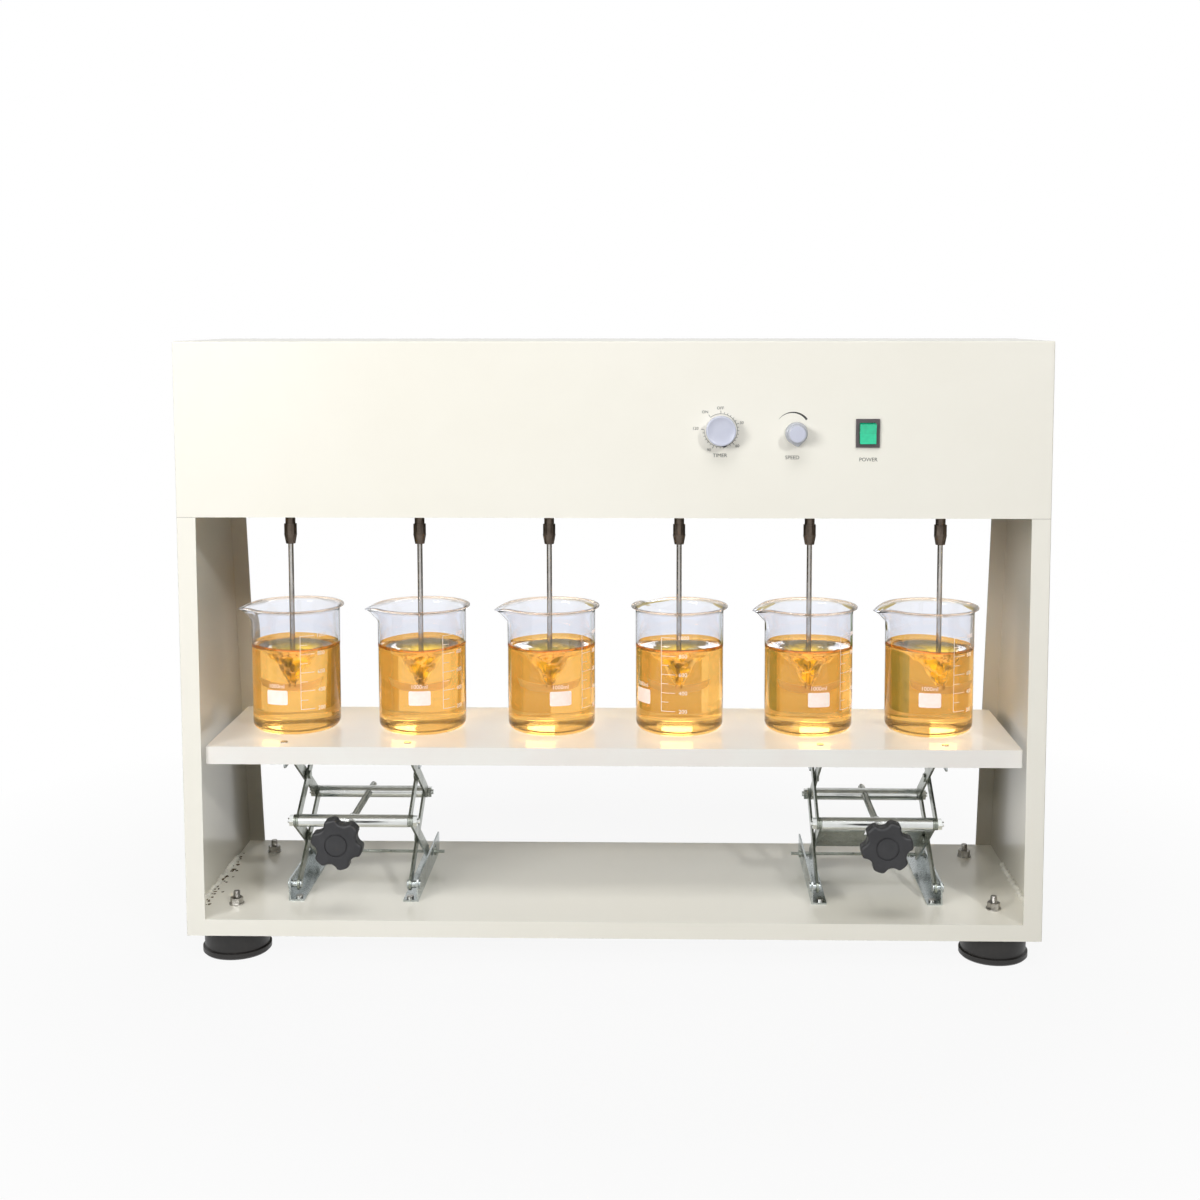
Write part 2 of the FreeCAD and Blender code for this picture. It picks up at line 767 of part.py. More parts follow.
def control_board():
    """Speed board on four pillars inside the rear panel."""
    body = new_body("control_board")
    half_wide = D["board_width"] / 2
    half_high = D["board_height"] / 2
    board = new_sketch(body, "XZ_Plane", D["board_standoff"])
    rectangle(board, -half_wide, -half_high, half_wide, half_high)
    pad(body, board, D["board_thickness"])
    pillars = new_sketch(body, "XZ_Plane")
    for sign_x in (-1, 1):
        for sign_z in (-1, 1):
            circle(pillars, sign_x * (half_wide - D["pillar_inset"]),
                   sign_z * (half_high - D["pillar_inset"]), D["pillar_radius"])
    pad(body, pillars, D["board_standoff"])
    # heat sink, two capacitors and the row of terminals
    parts = new_sketch(body, "XZ_Plane", D["board_standoff"] + D["board_thickness"])
    rectangle(parts, -half_wide * 0.84, -half_high * 0.7, -half_wide * 0.2, half_high * 0.3)
    for share in (0.1, 0.47):
        circle(parts, half_wide * share, half_high * 0.45, half_high * 0.2)
    rectangle(parts, 0, -half_high * 0.75, half_wide * 0.84, -half_high * 0.4)
    pad(body, parts, D["board_parts"])
    node(place(body, 0, D["head_depth"] - D["gauge"], BOARD_Z))


# ---------------------------------------------------------------- front controls
def timer():
    """Clockwork timer behind the panel and its knob with a pointer nub."""
    case = new_body("timer_body")
    gauge = D["gauge"]
    half = D["timer_case"] / 2
    box = new_sketch(case, "XZ_Plane", -gauge)
    rectangle(box, -half, -half, half, half)
    pad(case, box, D["timer_case_depth"], reverse=True)
    neck = new_sketch(case, "XZ_Plane")
    circle(neck, 0, 0, D["bushing_radius"])
    pad(case, neck, gauge, reverse=True)
    bore = new_sketch(case, "XZ_Plane")
    circle(bore, 0, 0, D["spindle_radius"] + D["pivot_clearance"])
    pocket(case, bore, gauge + D["timer_case_depth"] / 2)
    node(place(case, D["timer_x"], 0, TIMER_Z))

    knob = new_body("timer_knob")
    disc = new_sketch(knob, "XZ_Plane", D["knob_panel_gap"])
    circle(disc, 0, 0, D["timer_knob_radius"])
    pad(knob, disc, D["timer_knob_height"])
    pointer = new_sketch(knob, "XZ_Plane", D["knob_panel_gap"])
    tip = -D["timer_knob_radius"] - D["timer_pointer"]
    outline(pointer, [(-2.6, -D["timer_knob_radius"] + 2), (-1.1, tip), (1.1, tip),
                      (2.6, -D["timer_knob_radius"] + 2)])
    pad(knob, pointer, D["timer_knob_height"] / 2)
    spindle = new_sketch(knob, "XZ_Plane", D["knob_panel_gap"])
    circle(spindle, 0, 0, D["spindle_radius"])
    pad(knob, spindle, D["knob_panel_gap"] + gauge + D["timer_case_depth"] / 3, reverse=True)
    face = -(D["knob_panel_gap"] + D["timer_knob_height"]).value
    round_edges(knob, size(1.2), lambda edge: isinstance(edge.Curve, Part.Circle)
                and abs(edge.CenterOfMass.y - face) < 0.01)
    node(place(knob, D["timer_x"], 0, TIMER_Z, (0, 1, 0), -D["timer_angle"]))


def speed_control():
    """Potentiometer behind the panel and its two-step knob with a pointed skirt."""
    pot = new_body("speed_potentiometer")
    gauge = D["gauge"]
    can = new_sketch(pot, "XZ_Plane", -gauge)
    circle(can, 0, 0, D["pot_radius"])
    pad(pot, can, D["pot_depth"], reverse=True)
    neck = new_sketch(pot, "XZ_Plane")
    circle(neck, 0, 0, D["bushing_radius"])
    pad(pot, neck, gauge, reverse=True)
    bore = new_sketch(pot, "XZ_Plane")
    circle(bore, 0, 0, D["spindle_radius"] + D["pivot_clearance"])
    pocket(pot, bore, gauge + D["pot_depth"] / 2)
    node(place(pot, D["speed_x"], 0, SPEED_Z))

    knob = new_body("speed_knob")
    skirt = new_sketch(knob, "XZ_Plane", D["knob_panel_gap"])
    circle(skirt, 0, 0, D["speed_skirt_radius"])
    pad(knob, skirt, D["speed_skirt_height"])
    pointer = new_sketch(knob, "XZ_Plane", D["knob_panel_gap"])
    tip = -D["speed_skirt_radius"] - D["speed_pointer"]
    shoulder = D["speed_skirt_radius"] * 0.7
    outline(pointer, [(-shoulder, -shoulder), (0, tip), (shoulder, -shoulder)])
    pad(knob, pointer, D["speed_skirt_height"])
    cap = new_sketch(knob, "XZ_Plane", D["knob_panel_gap"] + D["speed_skirt_height"])
    circle(cap, 0, 0, D["speed_cap_radius"])
    pad(knob, cap, D["speed_cap_height"])
    spindle = new_sketch(knob, "XZ_Plane", D["knob_panel_gap"])
    circle(spindle, 0, 0, D["spindle_radius"])
    pad(knob, spindle, D["knob_panel_gap"] + gauge + D["pot_depth"] / 3, reverse=True)
    face = -(D["knob_panel_gap"] + D["speed_skirt_height"] + D["speed_cap_height"]).value
    round_edges(knob, size(1.0), lambda edge: isinstance(edge.Curve, Part.Circle)
                and abs(edge.CenterOfMass.y - face) < 0.01)
    node(place(knob, D["speed_x"], 0, SPEED_Z, (0, 1, 0), -D["speed_angle"]))


def power_switch():
    """Rocker switch: a bezel and housing snapped into the panel, and the lit rocker."""
    housing = new_body("switch_housing")
    half_wide = D["bezel_width"] / 2
    half_high = D["bezel_height"] / 2
    well_wide = D["rocker_width"] / 2 + D["open_clearance"]
    well_high = D["rocker_height"] / 2 + D["open_clearance"] * 2
    bezel = new_sketch(housing, "XZ_Plane")
    rectangle(bezel, -half_wide, -half_high, half_wide, half_high)
    pad(housing, bezel, D["bezel_stand"])
    case = new_sketch(housing, "XZ_Plane")
    rectangle(case, 2 - half_wide, 2 - half_high, half_wide - 2, half_high - 2)
    pad(housing, case, D["switch_depth"], reverse=True)
    well = new_sketch(housing, "XZ_Plane", D["bezel_stand"])
    rectangle(well, -well_wide, -well_high, well_wide, well_high)
    pocket(housing, well, D["bezel_stand"] + D["switch_depth"] / 2)
    seats = new_sketch(housing, "YZ_Plane")
    circle(seats, 0, 0, D["rocker_pin_radius"] + D["pivot_clearance"])
    pocket(housing, seats, D["rocker_width"] + 4, middle=True)
    node(place(housing, D["switch_x"], 0, SWITCH_Z))

    rocker = new_body("power_rocker")
    half_rocker = D["rocker_height"] / 2
    swing = D["rocker_swing"].value / 2
    lean = half_rocker * math.tan(math.radians(swing))
    rise = D["rocker_rise"]
    back = D["rocker_rise"] * 0.9
    side = new_sketch(rocker, "YZ_Plane")
    outline(side, [(-rise - lean, -half_rocker), (-rise, 0), (-rise - lean, half_rocker),
                   (back - lean, half_rocker), (back, half_rocker * 0.45),
                   (back, -half_rocker * 0.45), (back - lean, -half_rocker)])
    pad(rocker, side, D["rocker_width"], middle=True)
    axle = new_sketch(rocker, "YZ_Plane")
    circle(axle, 0, 0, D["rocker_pin_radius"])
    pad(rocker, axle, D["rocker_width"] + 3, middle=True)
    node(place(rocker, D["switch_x"], 0, SWITCH_Z, (1, 0, 0), D["rocker_swing"] / 2))


# ---------------------------------------------------------------- stirring places
def chuck(number, across):
    """Drive shaft with its collet nut: a collar, a faceted body and a cone."""
    label = f"chuck_{number}"
    collar_low = HEAD_BOTTOM - D["chuck_collar_drop"]
    body_low = collar_low - D["chuck_body_length"]
    tip = body_low - D["chuck_cone_length"]
    shaft_top = HEAD_BOTTOM + D["gauge"] + D["gearbox_height"] - D["arm_gap"]
    grip = D["rod_stirrer_radius"]
    body = revolved(label, [
        (grip, tip), (D["chuck_tip_radius"], tip), (D["chuck_body_radius"], body_low),
        (D["chuck_body_radius"], collar_low), (D["chuck_collar_radius"], collar_low),
        (D["chuck_collar_radius"], HEAD_BOTTOM - D["hole_clearance"]),
        (D["shaft_radius"], HEAD_BOTTOM - D["hole_clearance"]), (D["shaft_radius"], shaft_top),
        (0, shaft_top), (0, tip + D["stirrer_grip"]), (grip, tip + D["stirrer_grip"])])
    flat = new_sketch(body, "XY_Plane", body_low)
    inner = D["chuck_body_radius"] - D["chuck_flat_depth"]
    rectangle(flat, inner, -3, D["chuck_body_radius"] + 1, 3)
    cut = pocket(body, flat, D["chuck_body_length"], reverse=True)
    polar(body, [cut], "Z_Axis", D["chuck_flats"])
    node(place(body, across, D["spindle_y"]))


def stirrer(number, across):
    """Straight rod gripped by the chuck, with a half-moon paddle across its foot."""
    body = new_body(f"stirrer_{number}")
    tip = HEAD_BOTTOM - D["chuck_collar_drop"] - D["chuck_body_length"] - D["chuck_cone_length"]
    rod_low = D["paddle_bottom"] + D["paddle_height"] / 3
    rod = new_sketch(body, "XY_Plane", rod_low)
    circle(rod, 0, 0, D["rod_stirrer_radius"])
    pad(body, rod, tip + D["stirrer_grip"] - rod_low)
    blade = new_sketch(body, "XZ_Plane")
    half = D["paddle_span"] / 2
    low = D["paddle_bottom"]
    high = low + D["paddle_height"]
    sag = D["paddle_sag"]
    outline(blade, [(-half, high), (-half * 0.9, low + sag * 0.75), (-half * 0.6, low + sag * 0.2),
                    (-half * 0.25, low), (half * 0.25, low), (half * 0.6, low + sag * 0.2),
                    (half * 0.9, low + sag * 0.75), (half, high), (half * 0.6, high - sag * 0.55),
                    (half * 0.2, high - sag * 0.8), (-half * 0.2, high - sag * 0.8),
                    (-half * 0.6, high - sag * 0.55)])
    pad(body, blade, D["paddle_thickness"], middle=True)
    node(place(body, across, D["spindle_y"]))


def beaker(number, across, spout_angle):
    """Low-form beaker: a turned cup with a flared rim and a pulled pouring spout."""
    body = new_body(f"beaker_{number}")
    wall = D["beaker_wall"]
    radius = D["beaker_radius"]
    corner = D["beaker_corner"]
    top = D["beaker_height"]
    flare = D["beaker_flare"]
    rim = D["beaker_rim_radius"]
    outside = new_sketch(body, "XZ_Plane")
    outline(outside, [(0, 0), (radius - corner, 0), (radius - corner * 0.3, corner * 0.3),
                      (radius, corner), (radius, top - flare), (radius + 1, top - flare * 0.4),
                      (rim, top), (0, top)])
    turn(body, "Revolution", outside)
    spout = spout_cone(body, "AdditiveCone", size(0))
    hollow = new_sketch(body, "XZ_Plane")
    inside = radius - wall
    outline(hollow, [(0, D["beaker_base"]), (inside - corner, D["beaker_base"]),
                     (inside - corner * 0.3, D["beaker_base"] + corner * 0.3),
                     (inside, D["beaker_base"] + corner), (inside, top - flare),
                     (inside + 1, top - flare * 0.4), (rim - wall * 0.8, top), (0, top)])
    turn(body, "Groove", hollow)
    spout_cone(body, "SubtractiveCone", wall)
    trim = new_sketch(body, "XY_Plane", top)
    circle(trim, 0, 0, rim * 2)
    pocket(body, trim, spout.Height.Value, reverse=True)
    place(body, across, D["spindle_y"], SHELF_TOP, (0, 0, 1), size(spout_angle))
    node(body)


def spout_cone(body, kind, wall):
    """Cone leaning out through the rim; its inner twin opens the pouring channel."""
    cone = body.newObject(f"PartDesign::{kind}", f"{body.Name}_{kind.lower()}")
    height = D["spout_drop"] * 1.3
    lean = math.degrees(math.atan2((D["spout_reach"] + D["spout_mouth"] * 0.2).value,
                                   D["spout_drop"].value))
    foot = D["beaker_radius"] - D["beaker_wall"]
    cone.Radius1 = 1.0
    cone.Radius2 = 5.0
    cone.Height = height.value
    bind(cone, "Height", height)
    bind(cone, "Radius1", size(3.5) - wall)
    bind(cone, "Radius2", D["spout_mouth"] - wall)
    start = foot - D["spout_mouth"] * 0.45
    low = D["beaker_height"] - D["spout_drop"]
    cone.AttachmentOffset = FreeCAD.Placement(
        VECTOR(start.value, 0, low.value), FreeCAD.Rotation(VECTOR(0, 1, 0), lean))
    bind(cone, "AttachmentOffset.Base.x", start)
    bind(cone, "AttachmentOffset.Base.z", low)
    cone.AttachmentSupport = [(origin_feature(body, "XY_Plane"), "")]
    cone.MapMode = "FlatFace"
    return cone


# ---------------------------------------------------------------- shelf
def shelf_tray():
    """Beaker shelf: a sheet folded down on all sides, its rear lip notched for the rails."""
    body = new_body("shelf_tray")
    gauge = D["gauge"]
    half = HALF_WIDTH - D["flange_width"] - D["shelf_gap"]
    front = D["shelf_setback"]
    rear = front + D["shelf_depth"]
    low = SHELF_TOP - D["shelf_lip"]
    block = new_sketch(body, "XY_Plane", low)
    rectangle(block, -half, front, half, rear)
    pad(body, block, D["shelf_lip"])
    hollow = new_sketch(body, "XY_Plane", low)
    rectangle(hollow, gauge - half, front + gauge, half - gauge, rear - gauge)
    pocket(body, hollow, D["shelf_lip"] - gauge, reverse=True)
    notches = new_sketch(body, "XY_Plane", low)
    room = D["hole_clearance"] + 0.7
    for centre in JACK_CENTRES:
        for sign in (-1, 1):
            outer = centre + sign * (TOP_WEB_OUT + room)
            inner = centre + sign * (TOP_WEB_OUT - D["rail_foot"] - room)
            left, right = (outer, inner) if sign < 0 else (inner, outer)
            rectangle(notches, left, rear - gauge - 1, right, rear + 1)
    pocket(body, notches, D["shelf_lip"] - gauge, reverse=True)
    node(place(body))


def shelf_screws():
    """Low screw heads on the shelf over the ends of the jacks' top rails."""
    screws = []
    for centre in JACK_CENTRES:
        for sign in (-1, 1):
            for back in (D["shelf_setback"] * 3.4, D["shelf_setback"] + D["shelf_depth"] - 20):
                screw = new_body(f"shelf_screw_{len(screws) + 1}")
                head = new_sketch(screw, "XY_Plane")
                circle(head, 0, 0, D["rail_screw_radius"])
                pad(screw, head, D["rail_screw_height"] / 3)
                across = centre + sign * (TOP_WEB_OUT - D["rail_foot"] / 2)
                screws.append(place(screw, across, back, SHELF_TOP))
    group("shelf_screws", screws)


# ---------------------------------------------------------------- scissor jacks
def slot_span():
    """Travel of a slide rod, from the highest to the lowest shelf, measured from the front face."""
    reach = D["arm_pitch"]
    start = D["bar_setback"] + reach * cosine(D["highest_angle"]) - D["slot_margin"]
    end = D["bar_setback"] + reach * cosine(D["lowest_angle"]) + D["slot_margin"]
    return start, end


def angle_rail(label, centre, upside_down, outer, height, pivot, length, arm):
    """Pair of angle rails, each with a spacer and pin for an arm and a slot for the slide rod.

    outer is the webs' outer face and arm the inner face of the arm that turns on the pin.
    """
    body = new_body(label)
    gauge = D["rail_gauge"]
    inner = outer - gauge
    front = D["rail_front"]
    rear = front + length
    flip = -1 if upside_down else 1
    far = flip * height
    cut = D["rail_chamfer"]
    web = new_sketch(body, "YZ_Plane", inner)
    outline(web, [(front, 0), (rear, 0), (rear, far), (front + cut, far), (front, far - flip * cut)])
    features = [pad(body, web, gauge)]
    foot = new_sketch(body, "XY_Plane")
    rectangle(foot, outer - D["rail_foot"], front, outer, rear)
    features.append(pad(body, foot, gauge, reverse=upside_down))
    start, end = slot_span()
    slot = new_sketch(body, "YZ_Plane", inner)
    stadium(slot, start, end, flip * pivot, D["rod_radius"] + D["slot_clearance"])
    features.append(pocket(body, slot, gauge, reverse=True))
    clear = D["arm_gap"] / 2
    spacer_start = arm + D["arm_thickness"] + clear
    head_start = arm - clear - D["rivet_head"]
    pieces = [(spacer_start, inner - spacer_start, D["spacer_radius"]),
              (head_start, spacer_start - head_start, D["rivet_radius"]),
              (head_start, D["rivet_head"], D["rivet_head_radius"]),
              (outer, D["rivet_head"], D["rivet_head_radius"])]
    for begin, span, radius in pieces:
        round_part = new_sketch(body, "YZ_Plane", begin)
        circle(round_part, D["bar_setback"], flip * pivot, radius)
        features.append(pad(body, round_part, span))
    mirror(body, features)
    return place(body, centre, 0, SHELF_UNDER if upside_down else FLOOR_TOP)


def rails():
    """Both jacks' rails, and the screws that hold the lower ones to the floor."""
    floor_pairs = []
    shelf_pairs = []
    screws = []
    arm_planes = ((INNER_ARM, OUTER_ARM), (OUTER_ARM, INNER_ARM))
    slot_end = slot_span()[1] + D["rod_radius"] + D["slot_clearance"]
    top_length = slot_end + D["top_rail_end"] - D["rail_front"]
    for number, centre in enumerate(JACK_CENTRES):
        lower_arm, upper_arm = arm_planes[number]
        floor_pairs.append(angle_rail(
            f"floor_rail_pair_{number}", centre, False, WEB_OUT, D["rail_height"],
            D["pivot_rise"], D["rail_length"], lower_arm))
        shelf_pairs.append(angle_rail(
            f"shelf_rail_pair_{number}", centre, True, TOP_WEB_OUT,
            D["top_drop"] + D["top_rail_margin"], D["top_drop"], top_length, upper_arm))
        for sign in (-1, 1):
            for back in (D["rail_front"] + D["rail_screw_inset"],
                         D["rail_front"] + D["rail_length"] - D["rail_screw_inset"]):
                screw = new_body(f"rail_screw_{len(screws) + 1}")
                head = new_sketch(screw, "XY_Plane")
                circle(head, 0, 0, D["rail_screw_radius"])
                pad(screw, head, D["rail_screw_height"])
                across = centre + sign * (WEB_OUT - D["rail_foot"] * 0.6)
                screws.append(place(screw, across, back, FLOOR_TOP + D["rail_gauge"]))
    group("floor_rails", floor_pairs)
    group("shelf_rails", shelf_pairs)
    return screws


def arm_pair(label, plane, holes):
    """Two parallel flat links with round ends; holes are (distance, radius) along them."""
    body = new_body(label)
    blank = new_sketch(body, "YZ_Plane", plane)
    stadium(blank, 0, D["arm_pitch"], 0, D["arm_width"] / 2)
    features = [pad(body, blank, D["arm_thickness"])]
    drill = new_sketch(body, "YZ_Plane", plane)
    for distance, radius in holes:
        circle(drill, distance, 0, radius)
    features.append(pocket(body, drill, D["arm_thickness"], reverse=True))
    return body, features


def centre_rivet(body):
    """Flush rivet through two crossing links, with its head on the inside."""
    middle = D["arm_pitch"] / 2
    head_start = INNER_ARM - D["arm_gap"] / 2 - D["rivet_head"]
    shank = new_sketch(body, "YZ_Plane", head_start)
    circle(shank, middle, 0, D["rivet_radius"])
    shank_pad = pad(body, shank, OUTER_ARM + D["arm_thickness"] - head_start)
    head = new_sketch(body, "YZ_Plane", head_start)
    circle(head, middle, 0, D["rivet_head_radius"])
    head_pad = pad(body, head, D["rivet_head"])
    return [shank_pad, head_pad]


def slide_rod(body, web, long_end):
    """Rod across the rear ends of a pair, through the rails' slots, with a nut outside each.

    long_end is the side, -1 or 1, on which the rod reaches well past its nut.
    """
    nut_out = web + D["rod_nut_gap"] + D["rod_nut_height"]
    start = -long_end * (nut_out + D["rod_stub"])
    rod = new_sketch(body, "YZ_Plane", start)
    circle(rod, D["arm_pitch"], 0, D["rod_radius"])
    pad(body, rod, nut_out + D["rod_stub"] + D["rod_reach"], reverse=long_end < 0)
    for sign in (-1, 1):
        nut = new_sketch(body, "YZ_Plane", sign * (web + D["rod_nut_gap"]))
        circle(nut, D["arm_pitch"], 0, D["rod_nut_radius"])
        pad(body, nut, D["rod_nut_height"], reverse=sign < 0)


def cross_bar(label, centre, back, offset):
    """Round bar between the links, with shouldered bolt ends and a hole for the screw."""
    body = new_body(label)
    stages = ((BAR_END, D["bar_radius"]), (PIN_END, D["pivot_radius"]),
              (PIN_END + D["bar_head_height"] + D["bolt_tip_length"], D["bolt_tip_radius"]))
    for half, radius in stages:
        stage = new_sketch(body, "YZ_Plane")
        circle(stage, 0, 0, radius)
        pad(body, stage, half * 2, middle=True)
    for sign in (-1, 1):
        head = new_sketch(body, "YZ_Plane", sign * PIN_END)
        hexagon(head, 0, 0, D["bar_head_flats"])
        pad(body, head, D["bar_head_height"], reverse=sign < 0)
    hole = new_sketch(body, "XZ_Plane")
    circle(hole, offset, 0, D["screw_radius"] + D["open_clearance"])
    pocket(body, hole, D["bar_radius"] * 3, middle=True)
    node(place(body, centre, back, BAR_Z))


def lead_screw(label, across):
    """Screw along Y through both bars, with thrust collars on the front bar."""
    seat = D["bar_radius"] + D["open_clearance"]
    head = D["knob_reach"] - D["knob_thickness"] / 2
    body = new_body(label)
    rod = new_sketch(body, "XZ_Plane", head)
    circle(rod, 0, 0, D["screw_radius"])
    pad(body, rod, head + D["screw_tail"], reverse=True)
    for sign in (1, -1):
        collar = new_sketch(body, "XZ_Plane", sign * seat)
        circle(collar, 0, 0, D["collar_radius"])
        pad(body, collar, D["collar_length"], reverse=sign < 0)
    node(place(body, across, D["bar_setback"], BAR_Z))


def star_knob(label, across, turned):
    """Six-lobed clamping knob with a ringed hub on its face and a boss behind."""
    body = new_body(label)
    rear = D["knob_reach"] - D["knob_thickness"]
    disc = new_sketch(body, "XZ_Plane", rear)
    circle(disc, 0, 0, D["knob_radius"])
    pad(body, disc, D["knob_thickness"])
    valley = new_sketch(body, "XZ_Plane", D["knob_reach"])
    circle(valley, 0, D["knob_valley_distance"], D["knob_valley_radius"])
    cut = pocket(body, valley, D["knob_thickness"])
    polar(body, [cut], "Y_Axis", D["knob_lobes"])
    round_edges(body, D["knob_lobe_round"], lambda edge: along(edge, (0, 1, 0)))
    face = -D["knob_reach"].value
    round_edges(body, D["knob_face_round"], lambda edge: abs(edge.CenterOfMass.y - face) < 0.01)
    boss = new_sketch(body, "XZ_Plane", rear)
    circle(boss, 0, 0, D["knob_boss_radius"])
    pad(body, boss, D["knob_boss_length"], reverse=True)
    ring = new_sketch(body, "XZ_Plane", D["knob_reach"])
    circle(ring, 0, 0, D["knob_hub_radius"])
    circle(ring, 0, 0, D["knob_hub_radius"] - D["knob_groove_width"])
    pocket(body, ring, D["knob_groove_depth"])
    bore = new_sketch(body, "XZ_Plane", rear - D["knob_boss_length"])
    circle(bore, 0, 0, D["screw_radius"])
    pocket(body, bore, D["knob_boss_length"] + D["knob_thickness"] / 2, reverse=True)
    node(place(body, across, D["bar_setback"], BAR_Z, (0, 1, 0), turned))


def brace(body):
    """Web along the upper edges of a pair, notched so that it clears the lead screw."""
    strip = new_sketch(body, "YZ_Plane")
    high = D["arm_width"] / 2
    rectangle(strip, D["brace_start"], high - D["brace_thickness"], D["brace_end"], high)
    pad(body, strip, INNER_ARM * 2 + D["arm_thickness"], middle=True)
    notch = new_sketch(body, "XY_Plane", high)
    half = D["brace_notch_width"] / 2
    rectangle(notch, -half, D["brace_start"] - 1, half, D["brace_notch_end"])
    pocket(body, notch, D["brace_thickness"])


def scissor_jack(where, centre, offset, turned, rising, falling, open_pivot, braced, long_end):
    """Two crossing stages of links between the floor rails and the shelf rails.

    rising is the plane of the arms that climb to the rear, falling that of the others,
    and long_end the side to which the slide rods reach further.
    """
    pivot = D["pivot_radius"] + D["pivot_clearance"]
    rivet = D["rivet_radius"] + D["pivot_clearance"]
    reach = D["arm_pitch"]
    up = D["rest_angle"]
    tilt = (1, 0, 0)
    rivets_rise = rising is INNER_ARM
    front = D["bar_setback"]

    def arms(name, plane, holes, riveted):
        body, features = arm_pair(f"{where}_{name}", plane, holes)
        if riveted:
            features += centre_rivet(body)
        mirror(body, features)
        return body

    plain = [(0, pivot), (reach / 2, rivet)]
    lower_front = arms("lower_front_arms", rising,
                       [(0, rivet), (reach, pivot)] + ([] if rivets_rise else [(reach / 2, rivet)]),
                       rivets_rise)
    node(place(lower_front, centre, front, FLOOR_PIVOT, tilt, up))

    lower_rear = arms("lower_rear_arms", falling, plain if rivets_rise else plain[:1], not rivets_rise)
    slide_rod(lower_rear, WEB_OUT, long_end)
    if braced:
        brace(lower_rear)
    node(place(lower_rear, centre, front, BAR_Z, tilt, -up))

    top_hole = D["rivet_radius"] + (D["open_clearance"] if open_pivot else D["pivot_clearance"])
    upper_front = arms("upper_front_arms", falling,
                       [(0, top_hole), (reach, pivot)] + ([(reach / 2, rivet)] if rivets_rise else []),
                       not rivets_rise)
    node(place(upper_front, centre, front, TOP_PIVOT, tilt, -up))

    upper_rear = arms("upper_rear_arms", rising, plain[:1] if rivets_rise else plain, rivets_rise)
    slide_rod(upper_rear, TOP_WEB_OUT, long_end)
    node(place(upper_rear, centre, front, BAR_Z, tilt, up))

    cross_bar(f"{where}_front_bar", centre, front, offset)
    cross_bar(f"{where}_rear_bar", centre, REAR_BAR_Y, offset)
    lead_screw(f"{where}_lead_screw", centre + offset)
    star_knob(f"{where}_star_knob", centre + offset, turned)


# ---------------------------------------------------------------- the whole tester
base_tray()
side_frame("left_side_frame", -1)
side_frame("right_side_frame", 1)
feet()
head_cover()
motor_plate()
drive_motors()
panel_screws = rear_panel()
cable_gland()
control_board()
timer()
speed_control()
power_switch()
# which way each spout points, and how far each beaker stands off its drive
SPOUT_ANGLES = (180, 180, 180, 125, 180, 180)
STANDS_OFF = (3.9, 1.3, 2.0, 0.6, 0.0, -10.6)
for number, across in enumerate(place_positions(), start=1):
    chuck(number, across)
    stirrer(number, across)
    turn_of = (number - 1) % len(SPOUT_ANGLES)
    beaker(number, across + STANDS_OFF[turn_of], SPOUT_ANGLES[turn_of])
shelf_tray()
shelf_screws()
rail_screws = rails()
group("frame_screws", panel_screws + rail_screws)
scissor_jack("left", JACK_CENTRES[0], D["left_screw_offset"], D["left_knob_turn"],
             rising=INNER_ARM, falling=OUTER_ARM, open_pivot=False, braced=False, long_end=1)
scissor_jack("right", JACK_CENTRES[1], D["right_screw_offset"], D["right_knob_turn"],
             rising=OUTER_ARM, falling=INNER_ARM, open_pivot=True, braced=True, long_end=-1)

doc.recompute()
for thing in doc.Objects:
    if "Invalid" in thing.State or "Error" in thing.State:
        raise RuntimeError(f"{thing.Label}: {thing.State}")
os.makedirs("parts", exist_ok=True)
for thing in NODES:
    shape = thing.Shape
    if shape.isNull() or not shape.isValid():
        raise RuntimeError(f"{thing.Label}: shape is not valid")
    shape.exportStep(os.path.join("parts", f"{thing.Label}.step"))
box = Part.makeCompound([thing.Shape for thing in NODES]).BoundBox
print(f"{len(NODES)} nodes, {box.XLength:.1f} x {box.YLength:.1f} x {box.ZLength:.1f} mm")
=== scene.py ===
import math

import bpy
import numpy as np
from mathutils import Matrix, Vector


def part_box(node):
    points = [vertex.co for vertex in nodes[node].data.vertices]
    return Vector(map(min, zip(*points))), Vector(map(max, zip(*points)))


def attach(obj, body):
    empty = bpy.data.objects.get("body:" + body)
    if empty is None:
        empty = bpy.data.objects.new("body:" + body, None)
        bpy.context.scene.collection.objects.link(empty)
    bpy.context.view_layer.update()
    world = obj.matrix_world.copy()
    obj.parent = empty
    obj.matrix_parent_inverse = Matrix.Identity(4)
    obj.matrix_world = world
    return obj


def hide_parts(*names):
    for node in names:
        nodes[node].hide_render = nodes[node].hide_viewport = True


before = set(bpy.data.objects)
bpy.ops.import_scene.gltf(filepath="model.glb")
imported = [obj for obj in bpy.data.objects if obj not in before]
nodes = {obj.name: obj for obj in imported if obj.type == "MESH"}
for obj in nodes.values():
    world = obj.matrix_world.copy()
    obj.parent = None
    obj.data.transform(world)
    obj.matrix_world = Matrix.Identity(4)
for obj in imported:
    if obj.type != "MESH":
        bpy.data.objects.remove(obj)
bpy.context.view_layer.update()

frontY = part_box("left_side_frame")[0].y   # front face of the sheet frame
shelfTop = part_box("beaker_1")[0].z
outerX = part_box("right_side_frame")[1].x
print("loaded", len(nodes), "nodes")


def placed(name, data):
    piece = bpy.data.objects.new(name, data)
    bpy.context.scene.collection.objects.link(piece)
    return piece


def middleOf(name):
    # the middle of a node's box along x, y and z
    low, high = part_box(name)
    return [(low[i] + high[i]) / 2 for i in range(3)]


# ---- colours and node helpers
def tone(hexText):
    # a written colour such as d8c49a as linear red, green, blue
    parts = [int(hexText[i:i + 2], 16) / 255 for i in (0, 2, 4)]
    return tuple(p / 12.92 if p < 0.04045 else ((p + 0.055) / 1.055) ** 2.4 for p in parts) + (1.0,)


